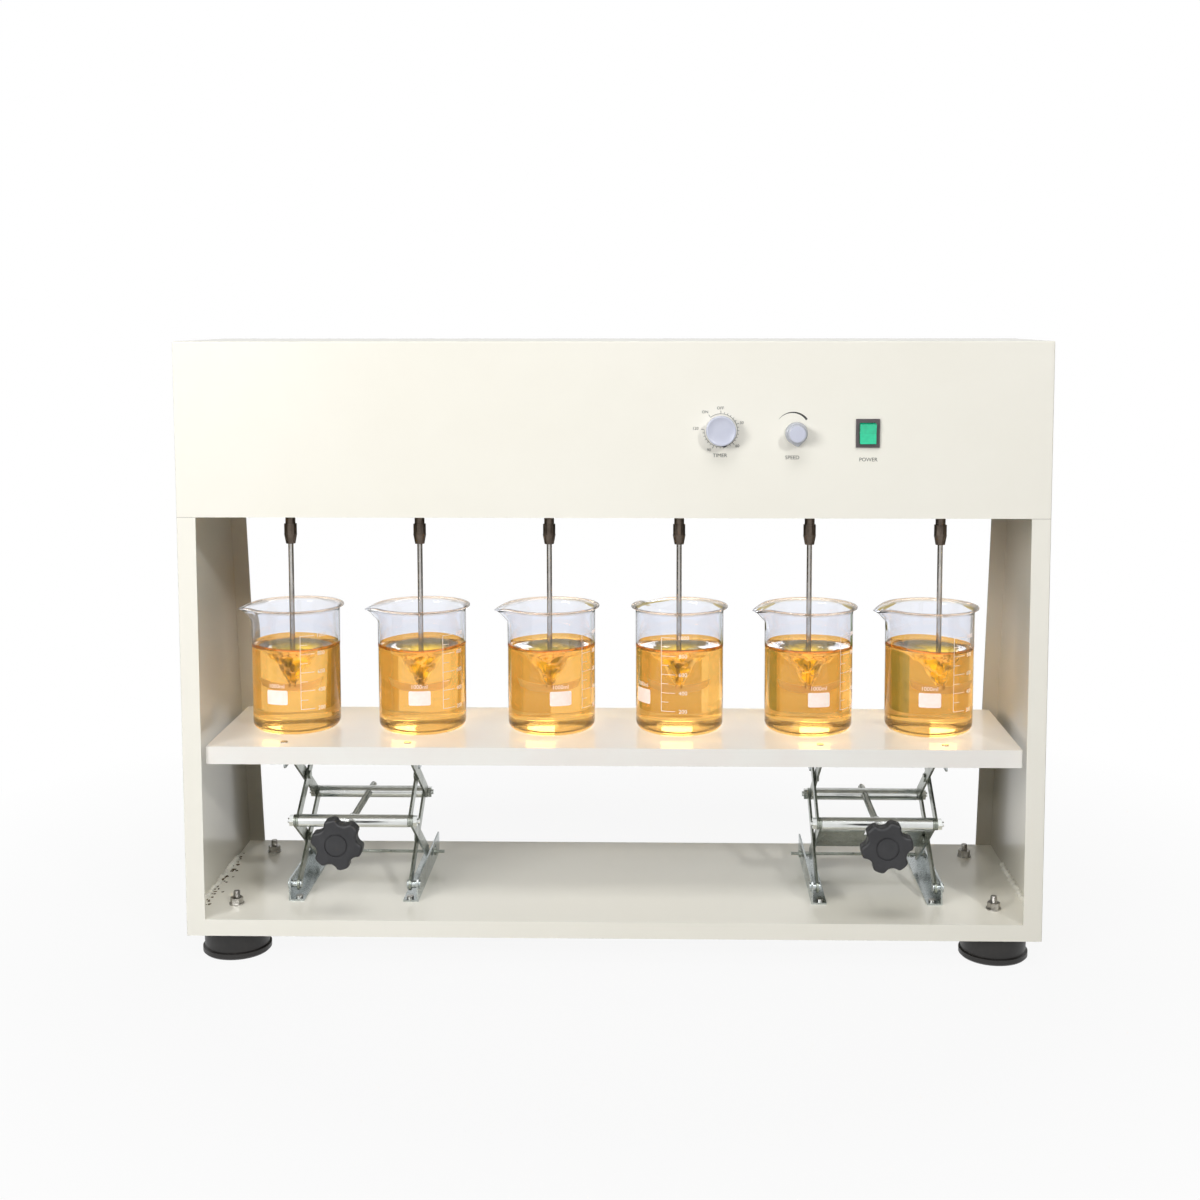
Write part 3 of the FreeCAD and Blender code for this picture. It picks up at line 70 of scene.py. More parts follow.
def feed(tree, socket, value):
    # a socket takes either another node's output or a plain value
    if isinstance(value, bpy.types.NodeSocket):
        tree.links.new(value, socket)
    else:
        socket.default_value = value


def setInputs(tree, node, values):
    for name, value in values.items():
        feed(tree, node.inputs[name], value)
    return node


def addNode(tree, kind, **settings):
    node = tree.nodes.new(kind)
    for name, value in settings.items():
        if name in node.inputs:
            feed(tree, node.inputs[name], value)
        else:
            setattr(node, name, value)
    return node


def addMath(tree, operation, *values):
    node = addNode(tree, "ShaderNodeMath", operation=operation)
    for socket, value in zip(node.inputs, values):
        feed(tree, socket, value)
    return node.outputs[0]


def objectPoint(tree):
    return addNode(tree, "ShaderNodeTexCoord").outputs["Object"]


def newGroup(name, inputs, outputs):
    group = bpy.data.node_groups.new(name, "ShaderNodeTree")
    for socketName, kind, value in inputs:
        socket = group.interface.new_socket(socketName, in_out="INPUT", socket_type=kind)
        if value is not None:
            socket.default_value = value
    for socketName, kind in outputs:
        group.interface.new_socket(socketName, in_out="OUTPUT", socket_type=kind)
    return group, group.nodes.new("NodeGroupInput"), group.nodes.new("NodeGroupOutput")


def mapRange(tree, source, low, high, fromLow=0.0, fromHigh=1.0):
    node = addNode(tree, "ShaderNodeMapRange", Value=source)
    setInputs(tree, node, {"From Min": fromLow, "From Max": fromHigh, "To Min": low, "To Max": high})
    return node.outputs["Result"]


def mixColors(tree, factor, first, second):
    node = addNode(tree, "ShaderNodeMix", data_type="RGBA")
    for number, value in ((0, factor), (6, first), (7, second)):
        feed(tree, node.inputs[number], value)
    return node.outputs[2]


def mixShaders(tree, factor, first, second):
    node = addNode(tree, "ShaderNodeMixShader")
    for socket, value in zip(node.inputs, (factor, first, second)):
        tree.links.new(value, socket)
    return node.outputs[0]


def buildFinishGroup():
    # broad cloudy shade, fine grain and faint streaks that every finish here uses in its own measure
    group, given, made = newGroup("surfaceFinish", [
        ("Vector", "NodeSocketVector", None), ("Color", "NodeSocketColor", (1, 1, 1, 1)),
        ("Worn Color", "NodeSocketColor", (1, 1, 1, 1)), ("Cloud Scale", "NodeSocketFloat", 8.0),
        ("Cloud Amount", "NodeSocketFloat", 0.3), ("Grain Scale", "NodeSocketFloat", 900.0),
        ("Roughness", "NodeSocketFloat", 0.4), ("Roughness Spread", "NodeSocketFloat", 0.08),
        ("Stretch", "NodeSocketVector", (1, 1, 1))],
        [("Color", "NodeSocketColor"), ("Roughness", "NodeSocketFloat"), ("Height", "NodeSocketFloat")])
    given = given.outputs
    stretched = addNode(group, "ShaderNodeVectorMath", operation="MULTIPLY")
    feed(group, stretched.inputs[0], given["Vector"])
    feed(group, stretched.inputs[1], given["Stretch"])
    cloud = addNode(group, "ShaderNodeTexNoise", Vector=given["Vector"], Scale=given["Cloud Scale"],
                    Detail=4.0, Roughness=0.6).outputs[0]
    grain = addNode(group, "ShaderNodeTexNoise", Vector=stretched.outputs[0], Scale=given["Grain Scale"],
                    Detail=2.0, Roughness=0.5).outputs[0]
    share = addMath(group, "MULTIPLY", mapRange(group, cloud, 0.0, 1.0, 0.35, 0.7), given["Cloud Amount"])
    setInputs(group, made, {
        "Color": mixColors(group, share, given["Color"], given["Worn Color"]),
        "Roughness": addMath(group, "MULTIPLY_ADD", mapRange(group, grain, -1.0, 1.0),
                             given["Roughness Spread"], given["Roughness"]),
        "Height": grain})
    return group


def buildSpangleGroup():
    # the crystal patches of zinc plate: cells of slightly different brightness
    group, given, made = newGroup("zincSpangle", [
        ("Vector", "NodeSocketVector", None), ("Color", "NodeSocketColor", (1, 1, 1, 1)),
        ("Scale", "NodeSocketFloat", 160.0), ("Amount", "NodeSocketFloat", 0.3)],
        [("Color", "NodeSocketColor"), ("Mask", "NodeSocketFloat")])
    given = given.outputs
    cells = addNode(group, "ShaderNodeTexVoronoi", Vector=given["Vector"], Scale=given["Scale"], Randomness=1.0)
    split = addNode(group, "ShaderNodeSeparateColor", Color=cells.outputs["Color"]).outputs[0]
    darker = addNode(group, "ShaderNodeVectorMath", operation="SCALE", Scale=0.72)
    feed(group, darker.inputs[0], given["Color"])
    share = addMath(group, "MULTIPLY", split, given["Amount"])
    setInputs(group, made, {"Color": mixColors(group, share, given["Color"], darker.outputs[0]), "Mask": split})
    return group


finishGroup = buildFinishGroup()
spangleGroup = buildSpangleGroup()


def emptyMaterial(name):
    material = bpy.data.materials.new(name)
    material.use_nodes = True
    tree = material.node_tree
    tree.nodes.clear()
    return material, tree, addNode(tree, "ShaderNodeOutputMaterial").inputs[0]


def finishMaterial(name, color, worn, cloudScale, cloudAmount, grainScale, roughness, spread, bumpStrength,
                   look, shader):
    # one Principled shader fed by the shared finish group
    material, tree, surface = emptyMaterial(name)
    point = objectPoint(tree)
    finish = addNode(tree, "ShaderNodeGroup", node_tree=finishGroup)
    setInputs(tree, finish, {"Vector": point, "Color": tone(color), "Worn Color": tone(worn),
                             "Cloud Scale": cloudScale, "Cloud Amount": cloudAmount, "Grain Scale": grainScale,
                             "Roughness": roughness, "Roughness Spread": spread,
                             "Stretch": look.get("Stretch", (1, 1, 1))})
    colorOut = finish.outputs["Color"]
    if "Spangle" in look:
        spangle = addNode(tree, "ShaderNodeGroup", node_tree=spangleGroup)
        setInputs(tree, spangle, {"Vector": point, "Color": colorOut, "Amount": look["Spangle"],
                                  "Scale": look["Spangle Scale"]})
        colorOut = spangle.outputs["Color"]
    bump = addNode(tree, "ShaderNodeBump", Strength=bumpStrength, Distance=0.0004,
                   Height=finish.outputs["Height"])
    principled = setInputs(tree, addNode(tree, "ShaderNodeBsdfPrincipled"), {
        **shader, "Base Color": colorOut, "Roughness": finish.outputs["Roughness"], "Normal": bump.outputs[0]})
    tree.links.new(principled.outputs[0], surface)
    return material


# colour, worn colour, cloud scale and amount, grain scale, roughness and its spread, bump, other looks, shader
finishTable = {
    "creamPaint": ("faf7ec", "f2eee0", 3.0, 0.5, 420.0, 0.42, 0.05, 0.04, {},
                   {"Specular IOR Level": 0.3, "Coat Weight": 0.45, "Coat Roughness": 0.16}),
    "shelfPaint": ("f7f6f0", "f6efe8", 9.0, 0.8, 420.0, 0.4, 0.05, 0.04, {},
                   {"Specular IOR Level": 0.3, "Coat Weight": 0.45, "Coat Roughness": 0.04}),
    "zincPlate": ("c6cccd", "9aa19f", 26.0, 0.75, 500.0, 0.27, 0.1, 0.06,
                  {"Spangle": 0.35, "Spangle Scale": 210.0}, {"Metallic": 1.0}),
    "zincArm": ("b4b9b2", "74796c", 34.0, 0.8, 420.0, 0.3, 0.12, 0.08, {"Spangle": 0.3, "Spangle Scale": 260.0},
                {"Metallic": 1.0}),
    "brightBar": ("e8eae8", "c4c7c4", 30.0, 0.6, 300.0, 0.2, 0.08, 0.04, {"Stretch": (0.15, 1, 1)},
                  {"Metallic": 1.0}),
    "stainlessRod": ("c9c6c2", "98948f", 60.0, 0.6, 700.0, 0.16, 0.06, 0.03, {"Stretch": (1, 1, 0.06)},
                     {"Metallic": 1.0}),
    "chuckMetal": ("6d6258", "48403a", 90.0, 0.8, 900.0, 0.34, 0.1, 0.12, {}, {"Metallic": 1.0}),
    "screwSteel": ("c6c4c0", "6c675f", 120.0, 0.8, 800.0, 0.3, 0.1, 0.08, {}, {"Metallic": 1.0}),
    "footRubber": ("1d1c1b", "34312e", 20.0, 0.6, 650.0, 0.42, 0.12, 0.16, {}, {"Specular IOR Level": 0.5}),
    "knobBlack": ("2b2b2d", "3f3f41", 40.0, 0.6, 1100.0, 0.45, 0.1, 0.3, {}, {"Specular IOR Level": 0.45}),
    "knobGrey": ("d0d3e2", "c2c6d8", 60.0, 0.4, 1200.0, 0.32, 0.06, 0.06, {}, {"Specular IOR Level": 0.5}),
    "knobSkirt": ("b9bcc2", "a2a5ab", 70.0, 0.4, 1200.0, 0.14, 0.04, 0.02, {},
                  {"Specular IOR Level": 0.6, "Coat Weight": 0.6, "Coat Roughness": 0.06}),
    "switchFrame": ("5b5255", "4a4346", 60.0, 0.4, 1000.0, 0.4, 0.08, 0.14, {},
                    {"Specular IOR Level": 0.45}),
    "rockerGreen": ("15c997", "0b9a70", 150.0, 0.5, 700.0, 0.16, 0.04, 0.04, {},
                    {"Specular IOR Level": 0.6, "Coat Weight": 0.5, "Coat Roughness": 0.05,
                     "Emission Color": tone("12c08c"), "Emission Strength": 0.25}),
    "motorCase": ("6c7074", "4f5357", 30.0, 0.5, 500.0, 0.4, 0.08, 0.08, {}, {"Metallic": 0.8}),
    "boardGreen": ("1f6b3c", "195a33", 90.0, 0.5, 600.0, 0.35, 0.06, 0.05, {}, {"Specular IOR Level": 0.5}),
    "glandBlack": ("232323", "303030", 80.0, 0.4, 900.0, 0.4, 0.08, 0.1, {}, {"Specular IOR Level": 0.5}),
    "dialInk": ("3b3a38", "55534f", 300.0, 0.5, 1500.0, 0.5, 0.06, 0.03, {}, {"Specular IOR Level": 0.3}),
    # the enamel marks carry a painted glow: a weak warm emission that makes them brighter than the lamps do
    "enamelWithPaintedGlow": ("fff3ec", "fbe4d8", 200.0, 0.6, 1500.0, 0.45, 0.08, 0.08, {},
                    {"Specular IOR Level": 0.4, "Emission Color": tone("ffd9c6"), "Emission Strength": 0.12}),
    # the seam strips' colour is a painted shadow of the hairline gaps between head cover and legs
    "seamPaintedShadow": ("8f8b80", "7a766c", 60.0, 0.6, 900.0, 0.6, 0.08, 0.1, {}, {"Specular IOR Level": 0.2}),
    "weldDirt": ("4a3c2a", "8a7a60", 180.0, 1.0, 700.0, 0.75, 0.1, 0.5, {}, {"Specular IOR Level": 0.3}),
}
finishes = {name: finishMaterial(name, *values) for name, values in finishTable.items()}


def clearMaterial(name, color, tint, ior, waveScale, waveBump):
    # glass and liquid: plain transmission, with a cloudy tint and a very slight wave in the surface
    material, tree, surface = emptyMaterial(name)
    point = objectPoint(tree)
    cloud = addNode(tree, "ShaderNodeTexNoise", Vector=point, Scale=22.0, Detail=3.0).outputs[0]
    ripple = addNode(tree, "ShaderNodeTexNoise", Vector=point, Scale=waveScale, Detail=1.0).outputs[0]
    bump = addNode(tree, "ShaderNodeBump", Strength=waveBump, Distance=0.001, Height=ripple)
    mixed = mixColors(tree, mapRange(tree, cloud, 0.0, 1.0, 0.3, 0.7), tone(color), tone(tint))
    principled = setInputs(tree, addNode(tree, "ShaderNodeBsdfPrincipled"), {
        "Transmission Weight": 1.0, "IOR": ior, "Roughness": 0.0, "Base Color": mixed,
        "Normal": bump.outputs[0]})
    tree.links.new(principled.outputs[0], surface)
    return material


finishes["clearGlass"] = clearMaterial("clearGlass", "ffffff", "fbfcfe", 1.47, 14.0, 0.03)
finishes["sampleLiquid"] = clearMaterial("sampleLiquid", "ffca70", "ffc064", 1.333, 30.0, 0.05)

# pairs are the two heights above the shelf, or depths behind the front, between which a tint comes in
tints = {
    # the rim colour is a painted warm reflection on the glass bead
    "upper": (0.096, 0.106), "upperColor": "f3f5fb", "rim": (0.1415, 0.1435), "rimReflectionColor": "f3d3b4",
    "wet": (0.0975, 0.0995), "wetAlpha": 0.12, "bead": (0.140, 0.1425), "beadAlpha": 0.5,
    # the streak, dark, bright and top colours paint a reflection on the whirl; the froth colour and glow are a
    # painted highlight
    "streakScale": 70.0, "paintedReflectionDark": "8c8a1c", "paintedReflectionBright": "ffe63c",
    "waterTop": (0.088, 0.094), "topReflectionColor": "4a4624",
    "frothHighlight": (0.086, 0.092), "frothHighlightColor": "ffcc18", "frothHighlightGlow": 0.3,
    "blade": (0.070, 0.074), "bladeColor": "cbbca6", "bladeRoughness": 0.25,
    # the channel colour and its spans set a painted shade inside the two side channels
    "coatInside": 0.5, "coatOutside": 0.04, "channelShadeColor": "7a705c", "channelShadeShare": 0.62,
    "channelShadeDepth": (0.05, 0.24), "channelShadeRear": (0.2768, 0.2774),
}


def openFinish(tree):
    # the material's Principled inputs, and the point's place in metres as X, Y and Z
    principled = next(node for node in tree.nodes if node.type == "BSDF_PRINCIPLED")
    return principled.inputs, addNode(tree, "ShaderNodeSeparateXYZ", Vector=objectPoint(tree)).outputs


def nowFed(socket):
    return socket.links[0].from_socket


def aboveShelf(tree, height, low, high, span):
    return mapRange(tree, height, low, high, shelfTop + span[0], shelfTop + span[1])


def tintGlass():
    # the empty upper wall is very slightly blue; the rim's bead is half see-through, and its warm colour is a
    # painted reflection of the amber liquid's light
    tree = finishes["clearGlass"].node_tree
    inputs, at = openFinish(tree)
    upper = aboveShelf(tree, at["Z"], 0.0, 1.0, tints["upper"])
    rim = aboveShelf(tree, at["Z"], 0.0, 1.0, tints["rim"])
    bluish = mixColors(tree, upper, nowFed(inputs["Base Color"]), tone(tints["upperColor"]))
    feed(tree, inputs["Base Color"], mixColors(tree, rim, bluish, tone(tints["rimReflectionColor"])))
    # below the liquid's level the glass is nearly transparent: the whole stack of glass and liquid
    # went black within the render's limit on bounces
    wet = aboveShelf(tree, at["Z"], tints["wetAlpha"], 1.0, tints["wet"])
    bead = aboveShelf(tree, at["Z"], 1.0, tints["beadAlpha"], tints["bead"])
    feed(tree, inputs["Alpha"], addMath(tree, "MULTIPLY", wet, bead))


def paintWhirlReflection():
    # a painted reflection of dark surroundings on the whirl: olive and yellow streaks, and a dark olive middle
    # on top; the liquid's body is amber
    tree = finishes["sampleLiquid"].node_tree
    inputs, at = openFinish(tree)
    body = nowFed(inputs["Base Color"])
    whirl = addNode(tree, "ShaderNodeAttribute", attribute_name="whirl").outputs["Fac"]
    streaks = addNode(tree, "ShaderNodeTexNoise", Vector=objectPoint(tree), Scale=tints["streakScale"],
                      Detail=2.0).outputs[0]
    paintedReflection = mixColors(tree, mapRange(tree, streaks, 0.0, 1.0, 0.42, 0.58),
                     tone(tints["paintedReflectionDark"]), tone(tints["paintedReflectionBright"]))
    sides = mixColors(tree, whirl, body, paintedReflection)
    middle = mixColors(tree, mapRange(tree, whirl, 0.0, 1.0, 0.0, 0.35), body, tone(tints["topReflectionColor"]))
    onTop = aboveShelf(tree, at["Z"], 0.0, 1.0, tints["waterTop"])
    feed(tree, inputs["Base Color"], mixColors(tree, onTop, sides, middle))
    # a weak yellow glow in the streaks is a painted highlight, standing in for light caught by air bubbles,
    # which aren't modelled
    frothHighlight = addMath(tree, "MULTIPLY", mapRange(tree, streaks, 0.0, 1.0, 0.48, 0.6),
                    aboveShelf(tree, at["Z"], 1.0, 0.0, tints["frothHighlight"]))
    lit = addMath(tree, "MULTIPLY", frothHighlight, mapRange(tree, whirl, 0.0, 1.0, 0.1, 0.5))
    feed(tree, inputs["Emission Color"], mixColors(tree, lit, tone("000000"), tone(tints["frothHighlightColor"])))
    inputs["Emission Strength"].default_value = tints["frothHighlightGlow"]


def tintPaddle():
    # the blade is given a warmer and rougher finish than the rod above it
    tree = finishes["stainlessRod"].node_tree
    inputs, at = openFinish(tree)
    blade = aboveShelf(tree, at["Z"], 1.0, 0.0, tints["blade"])
    feed(tree, inputs["Base Color"],
         mixColors(tree, blade, nowFed(inputs["Base Color"]), tone(tints["bladeColor"])))
    feed(tree, inputs["Roughness"],
         addMath(tree, "MULTIPLY_ADD", blade, tints["bladeRoughness"], nowFed(inputs["Roughness"])))


def dullOutside():
    # nearly no gloss on the outer sides, where the dark side cards would show as hard-edged patches
    tree = finishes["creamPaint"].node_tree
    inputs, at = openFinish(tree)
    feed(tree, inputs["Coat Weight"], mapRange(tree, addMath(tree, "ABSOLUTE", at["X"]), tints["coatInside"],
                                               tints["coatOutside"], outerX - 0.0008, outerX - 0.0002))


def paintChannelShade():
    # inside the two side channels the paint carries a painted shade, darker towards the back, as the lamps
    # alone leave the channels lighter
    material = finishes["creamPaint"].copy()
    material.name = "channelPaintedShade"
    tree = material.node_tree
    inputs, at = openFinish(tree)
    (near, far), (inner, outer) = tints["channelShadeDepth"], tints["channelShadeRear"]
    inside = mapRange(tree, addMath(tree, "ABSOLUTE", at["X"]), 1.0, 0.0, outerX - 0.0015, outerX - 0.0010)
    back = mapRange(tree, at["Y"], 0.0, tints["channelShadeShare"], frontY + near, frontY + far)
    rear = mapRange(tree, at["Y"], 1.0, 0.0, frontY + inner, frontY + outer)
    share = addMath(tree, "MULTIPLY", addMath(tree, "MULTIPLY", inside, back), rear)
    feed(tree, inputs["Base Color"],
         mixColors(tree, share, nowFed(inputs["Base Color"]), tone(tints["channelShadeColor"])))
    finishes["channelPaintedShade"] = material


tintGlass()
paintWhirlReflection()
tintPaddle()
dullOutside()
paintChannelShade()
print("finishes ready:", len(finishes))


# ---- surfaces
def gridFaces(rows, columns):
    # each face joins two neighbours in one row to the same two in the next; every row closes on itself
    row, column = np.meshgrid(np.arange(rows - 1), np.arange(columns), indexing="ij")
    row, column = row.ravel(), column.ravel()
    after = (column + 1) % columns
    return np.stack([row * columns + column, row * columns + after,
                     (row + 1) * columns + after, (row + 1) * columns + column], 1)


def fanFaces(centre, start, count, turned=False):
    # triangles from one middle point to each pair of neighbours on a ring
    here = start + np.arange(count)
    after = start + (np.arange(count) + 1) % count
    return np.stack([np.full(count, centre), after, here] if turned else
                    [np.full(count, centre), here, after], 1)


noTriangles = np.zeros((0, 3), int)
noQuads = np.zeros((0, 4), int)


def outward(shape):
    # the corner products summed over all faces give six times the volume: if it is below zero, faces are turned
    points, quads, triangles = shape
    parts = np.concatenate([triangles, quads[:, [0, 1, 2]], quads[:, [0, 2, 3]]])
    a, b, c = points[parts[:, 0]], points[parts[:, 1]], points[parts[:, 2]]
    if np.einsum("ij,ij->i", a, np.cross(b, c)).sum() < 0:
        return points, quads[:, ::-1], triangles[:, ::-1]
    return shape


def ringSurface(rings):
    # rings is rows of rings of points; the first and the last ring are filled
    rows, columns = rings.shape[:2]
    points = np.vstack([rings.reshape(-1, 3), rings[0].mean(0), rings[-1].mean(0)])
    triangles = np.vstack([fanFaces(rows * columns, 0, columns, True),
                           fanFaces(rows * columns + 1, (rows - 1) * columns, columns)])
    return outward((points, gridFaces(rows, columns), triangles))


def fullTurn(count):
    return np.linspace(0, 2 * np.pi, count, endpoint=False)


def around(radius, angle, height):
    # points about the upright axis: x = r cos a, y = r sin a
    return np.stack(np.broadcast_arrays(radius * np.cos(angle), radius * np.sin(angle), height), -1)


def turnedRings(profile, angle):
    # each (radius, height) of the profile goes all the way round
    profile = np.asarray(profile, float)
    return around(profile[:, :1], angle, profile[:, 1:])


def levelRings(outline, angle, steps):
    # an outline given as a radius at each angle, once for each share k and height z of the steps
    return np.stack([around(outline * k, angle, z) for k, z in steps])


def tangents(away, half, blunt):
    # 1 on a circle, and 1 / cos(half - angle) where two tangents run out to a blunted point
    soft = np.sqrt(away ** 2 + blunt ** 2)
    return np.where(soft < half, 1 / np.cos(np.clip(half - soft, 0, half)), 1.0)


def lathe(profile, sides):
    return ringSurface(turnedRings(profile, fullTurn(sides)))


def moved(shape, offset=(0, 0, 0), turn=None):
    points, quads, triangles = shape
    if turn is not None:
        points = points @ np.array(turn.to_3x3()).T
    return points + np.array(offset, float), quads, triangles


def joined(shapes):
    # several shapes in one mesh: their face numbers go up by the points that come before
    starts = np.cumsum([0] + [len(shape[0]) for shape in shapes[:-1]])
    return (np.vstack([shape[0] for shape in shapes]),
            np.vstack([shape[1] + start for shape, start in zip(shapes, starts)]),
            np.vstack([shape[2] + start for shape, start in zip(shapes, starts)]))


def addPiece(name, shape, finish, body, sharpAngle=40):
    points, quads, triangles = shape
    mesh = bpy.data.meshes.new(name)
    mesh.from_pydata(points.tolist(), [], quads.tolist() + triangles.tolist())
    mesh.polygons.foreach_set("use_smooth", np.ones(len(mesh.polygons), bool))
    mesh.set_sharp_from_angle(angle=math.radians(sharpAngle))
    mesh.materials.append(finishes[finish])
    mesh.update()
    piece = placed(name, mesh)
    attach(piece, body)
    return piece


def arc(centreR, centreZ, radius, start, end, count):
    # points of a circle in the (radius, height) plane between two angles in degrees
    a = np.radians(np.linspace(start, end, count))
    return np.stack([centreR + radius * np.cos(a), centreZ + radius * np.sin(a)], 1)


def textShape(words, height, thickness):
    # letters as a thin solid in the x y plane, left edge at zero, capitals this high
    curve = bpy.data.curves.new("letters", "FONT")
    curve.body = words
    curve.size = height / 0.7
    curve.extrude = thickness / 2
    curve.resolution_u = 3
    holder = placed("letters", curve)
    bpy.context.view_layer.update()
    mesh = bpy.data.meshes.new_from_object(holder.evaluated_get(bpy.context.evaluated_depsgraph_get()))
    mesh.calc_loop_triangles()
    points = np.zeros(len(mesh.vertices) * 3)
    mesh.vertices.foreach_get("co", points)
    triangles = np.zeros(len(mesh.loop_triangles) * 3, np.int32)
    mesh.loop_triangles.foreach_get("vertices", triangles)
    bpy.data.objects.remove(holder)
    bpy.data.curves.remove(curve)
    bpy.data.meshes.remove(mesh)
    points = points.reshape(-1, 3)
    points[:, 0] -= points[:, 0].min()
    return points, noQuads, triangles.reshape(-1, 3).astype(int)


def centredWords(words, height, thickness):
    # the back of the letters lies at zero, their middle at x = 0
    letters = textShape(words, height, thickness)
    return moved(letters, (-letters[0][:, 0].max() / 2, 0, thickness / 2))


# ---- beakers
beakerSizes = {
    "radius": 0.0507, "rim": 0.0556, "height": 0.145, "wall": 0.0018, "base": 0.0028, "corner": 0.0105,
    "bead": 0.0011, "spoutReach": 0.0125, "spoutDrop": 0.0185, "spoutDip": 0.0065, "sides": 180,
    "spacing": 0.150, "setback": 0.101,
    "shift": (0.0039, 0.0013, 0.0020, 0.0006, 0.0, -0.0106),
    "spoutAngle": (184, 184, 186, 125, 186, 184),
}


def beakerCentre(index):
    size = beakerSizes
    across = size["spacing"] * (index - 2.5) + size["shift"][index]
    return np.array([across, frontY + size["setback"], shelfTop])


def beakerProfile():
    # base, rounded corner, straight wall, flare and bead on the outside, then the same back down the inside
    size = beakerSizes
    r, c, w, h = size["radius"], size["corner"], size["wall"], size["height"]
    low = [(0.004, 0.0006), (0.02, 0.0005), (r - c - 0.004, 0.0)]
    outside = np.vstack([low, arc(r - c, c, c, -90, 0, 12)])
    flareLow = h - 0.0075
    t = np.linspace(0, 1, 9)[1:]
    straight = np.stack([np.full(12, r), np.linspace(c + 0.004, flareLow, 12)], 1)
    flare = np.stack([r + (size["rim"] - size["bead"] - r) * t ** 2.2,
                      flareLow + (h - size["bead"] - flareLow) * t], 1)
    bead = arc(size["rim"] - size["bead"], h - size["bead"], size["bead"] * 1.25, -40, 200, 9)
    inR, inC = r - w, c - w * 0.6
    backFlare = np.stack([inR + (size["rim"] - size["bead"] * 2.4 - inR) * t[::-1][1:] ** 2.2,
                          flareLow + (h - size["bead"] - flareLow) * t[::-1][1:]], 1)
    backWall = np.stack([np.full(12, inR), np.linspace(flareLow, size["base"] + inC + 0.003, 12)], 1)
    inside = arc(inR - inC, size["base"] + inC, inC, 0, -90, 12)
    floor = [(0.02, size["base"] + 0.0004), (0.004, size["base"] + 0.0006)]
    return np.vstack([outside, straight, flare, bead, backFlare, backWall, inside, floor])


def pullSpout(points, direction):
    # near the rim the outline runs along two tangents to a point beyond it; the pull grows straight from
    # the spout's foot to the rim, and the tip dips a little
    size = beakerSizes
    radius = np.hypot(points[..., 0], points[..., 1])
    angle = np.angle(np.exp(1j * (np.arctan2(points[..., 1], points[..., 0]) - math.radians(direction))))
    tip = size["rim"] + size["spoutReach"]
    reach = (tangents(angle, math.acos(size["rim"] / tip), 0.05) - 1) / (tip / size["rim"] - 1)
    rise = np.clip((points[..., 2] - size["height"] + size["spoutDrop"]) / size["spoutDrop"], 0, 1)
    line = size["radius"] + (tip - size["radius"]) * rise
    inner = np.where(radius < size["radius"] - 0.0001, size["wall"], 0.0) * (rise < 0.93)
    grow = reach * np.clip(line - inner - radius, 0, None) * (rise > 0)
    grown = np.where(radius > 1e-6, (radius + grow) / np.maximum(radius, 1e-6), 1.0)
    return np.stack([points[..., 0] * grown, points[..., 1] * grown,
                     points[..., 2] - size["spoutDip"] * reach * rise ** 2], -1)


def buildBeakers():
    profile = beakerProfile()
    upright = turnedRings(profile, fullTurn(beakerSizes["sides"]))
    for index in range(6):
        rings = pullSpout(upright, beakerSizes["spoutAngle"][index])
        piece = addPiece(f"beakerGlass_{index + 1}", moved(ringSurface(rings), beakerCentre(index)),
                         "clearGlass", "shelf", sharpAngle=80)
        piece.visible_shadow = False   # light goes through the glass to the shelf
        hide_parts(f"beaker_{index + 1}")


liquidSizes = {
    "overlap": 0.0014, "level": 0.0972, "core": 0.0135, "depth": 0.046, "sides": 144,
    "tilt": ((-0.018, 0.0), (0.004, 0.01), (0.006, 0.0), (0.004, -0.006), (0.004, 0.008), (-0.03, 0.0)),
    "arms": (3, 2, 3, 4, 2, 3), "turn": (0.3, 1.7, 2.9, 4.1, 5.0, 0.9),
    "spiral": 0.0024, "cross": 0.0011, "swell": 0.0005, "bandAt": 0.016, "bandWidth": 0.011,
    "dish": 0.0022, "lip": 0.0012,
}


def liquidTop(radius, angle, index):
    # a whirlpool: the level sinks by depth / (1 + (r / core)^2)^1.2, with spiral ripples cos(n a + 7 ln r)
    # and cos(7 a - 13 ln r), a dish in r^2, a slant, and a small lip where it climbs the wall
    size = liquidSizes
    phase = size["turn"][index]
    inner = beakerSizes["radius"] - beakerSizes["wall"]
    pit = -size["depth"] / (1 + (radius / size["core"]) ** 2) ** 1.2
    band = np.exp(-((radius - size["bandAt"]) / size["bandWidth"]) ** 2)
    spiral = np.log(np.maximum(radius, 0.002) / 0.01)
    ripple = size["spiral"] * band * np.cos(size["arms"][index] * angle + 7 * spiral + phase)
    ripple += size["cross"] * band * np.cos(7 * angle - 13 * spiral + 2.3 * phase)
    ripple += size["swell"] * np.cos(3 * angle + phase) * (radius / inner) ** 2
    slantX, slantY = size["tilt"][index]
    slant = radius * (slantX * np.cos(angle) + slantY * np.sin(angle))
    lip = size["lip"] * np.exp((radius - inner) / size["lip"])
    return size["level"] + size["dish"] * (radius / inner) ** 2 + pit + ripple + slant + lip


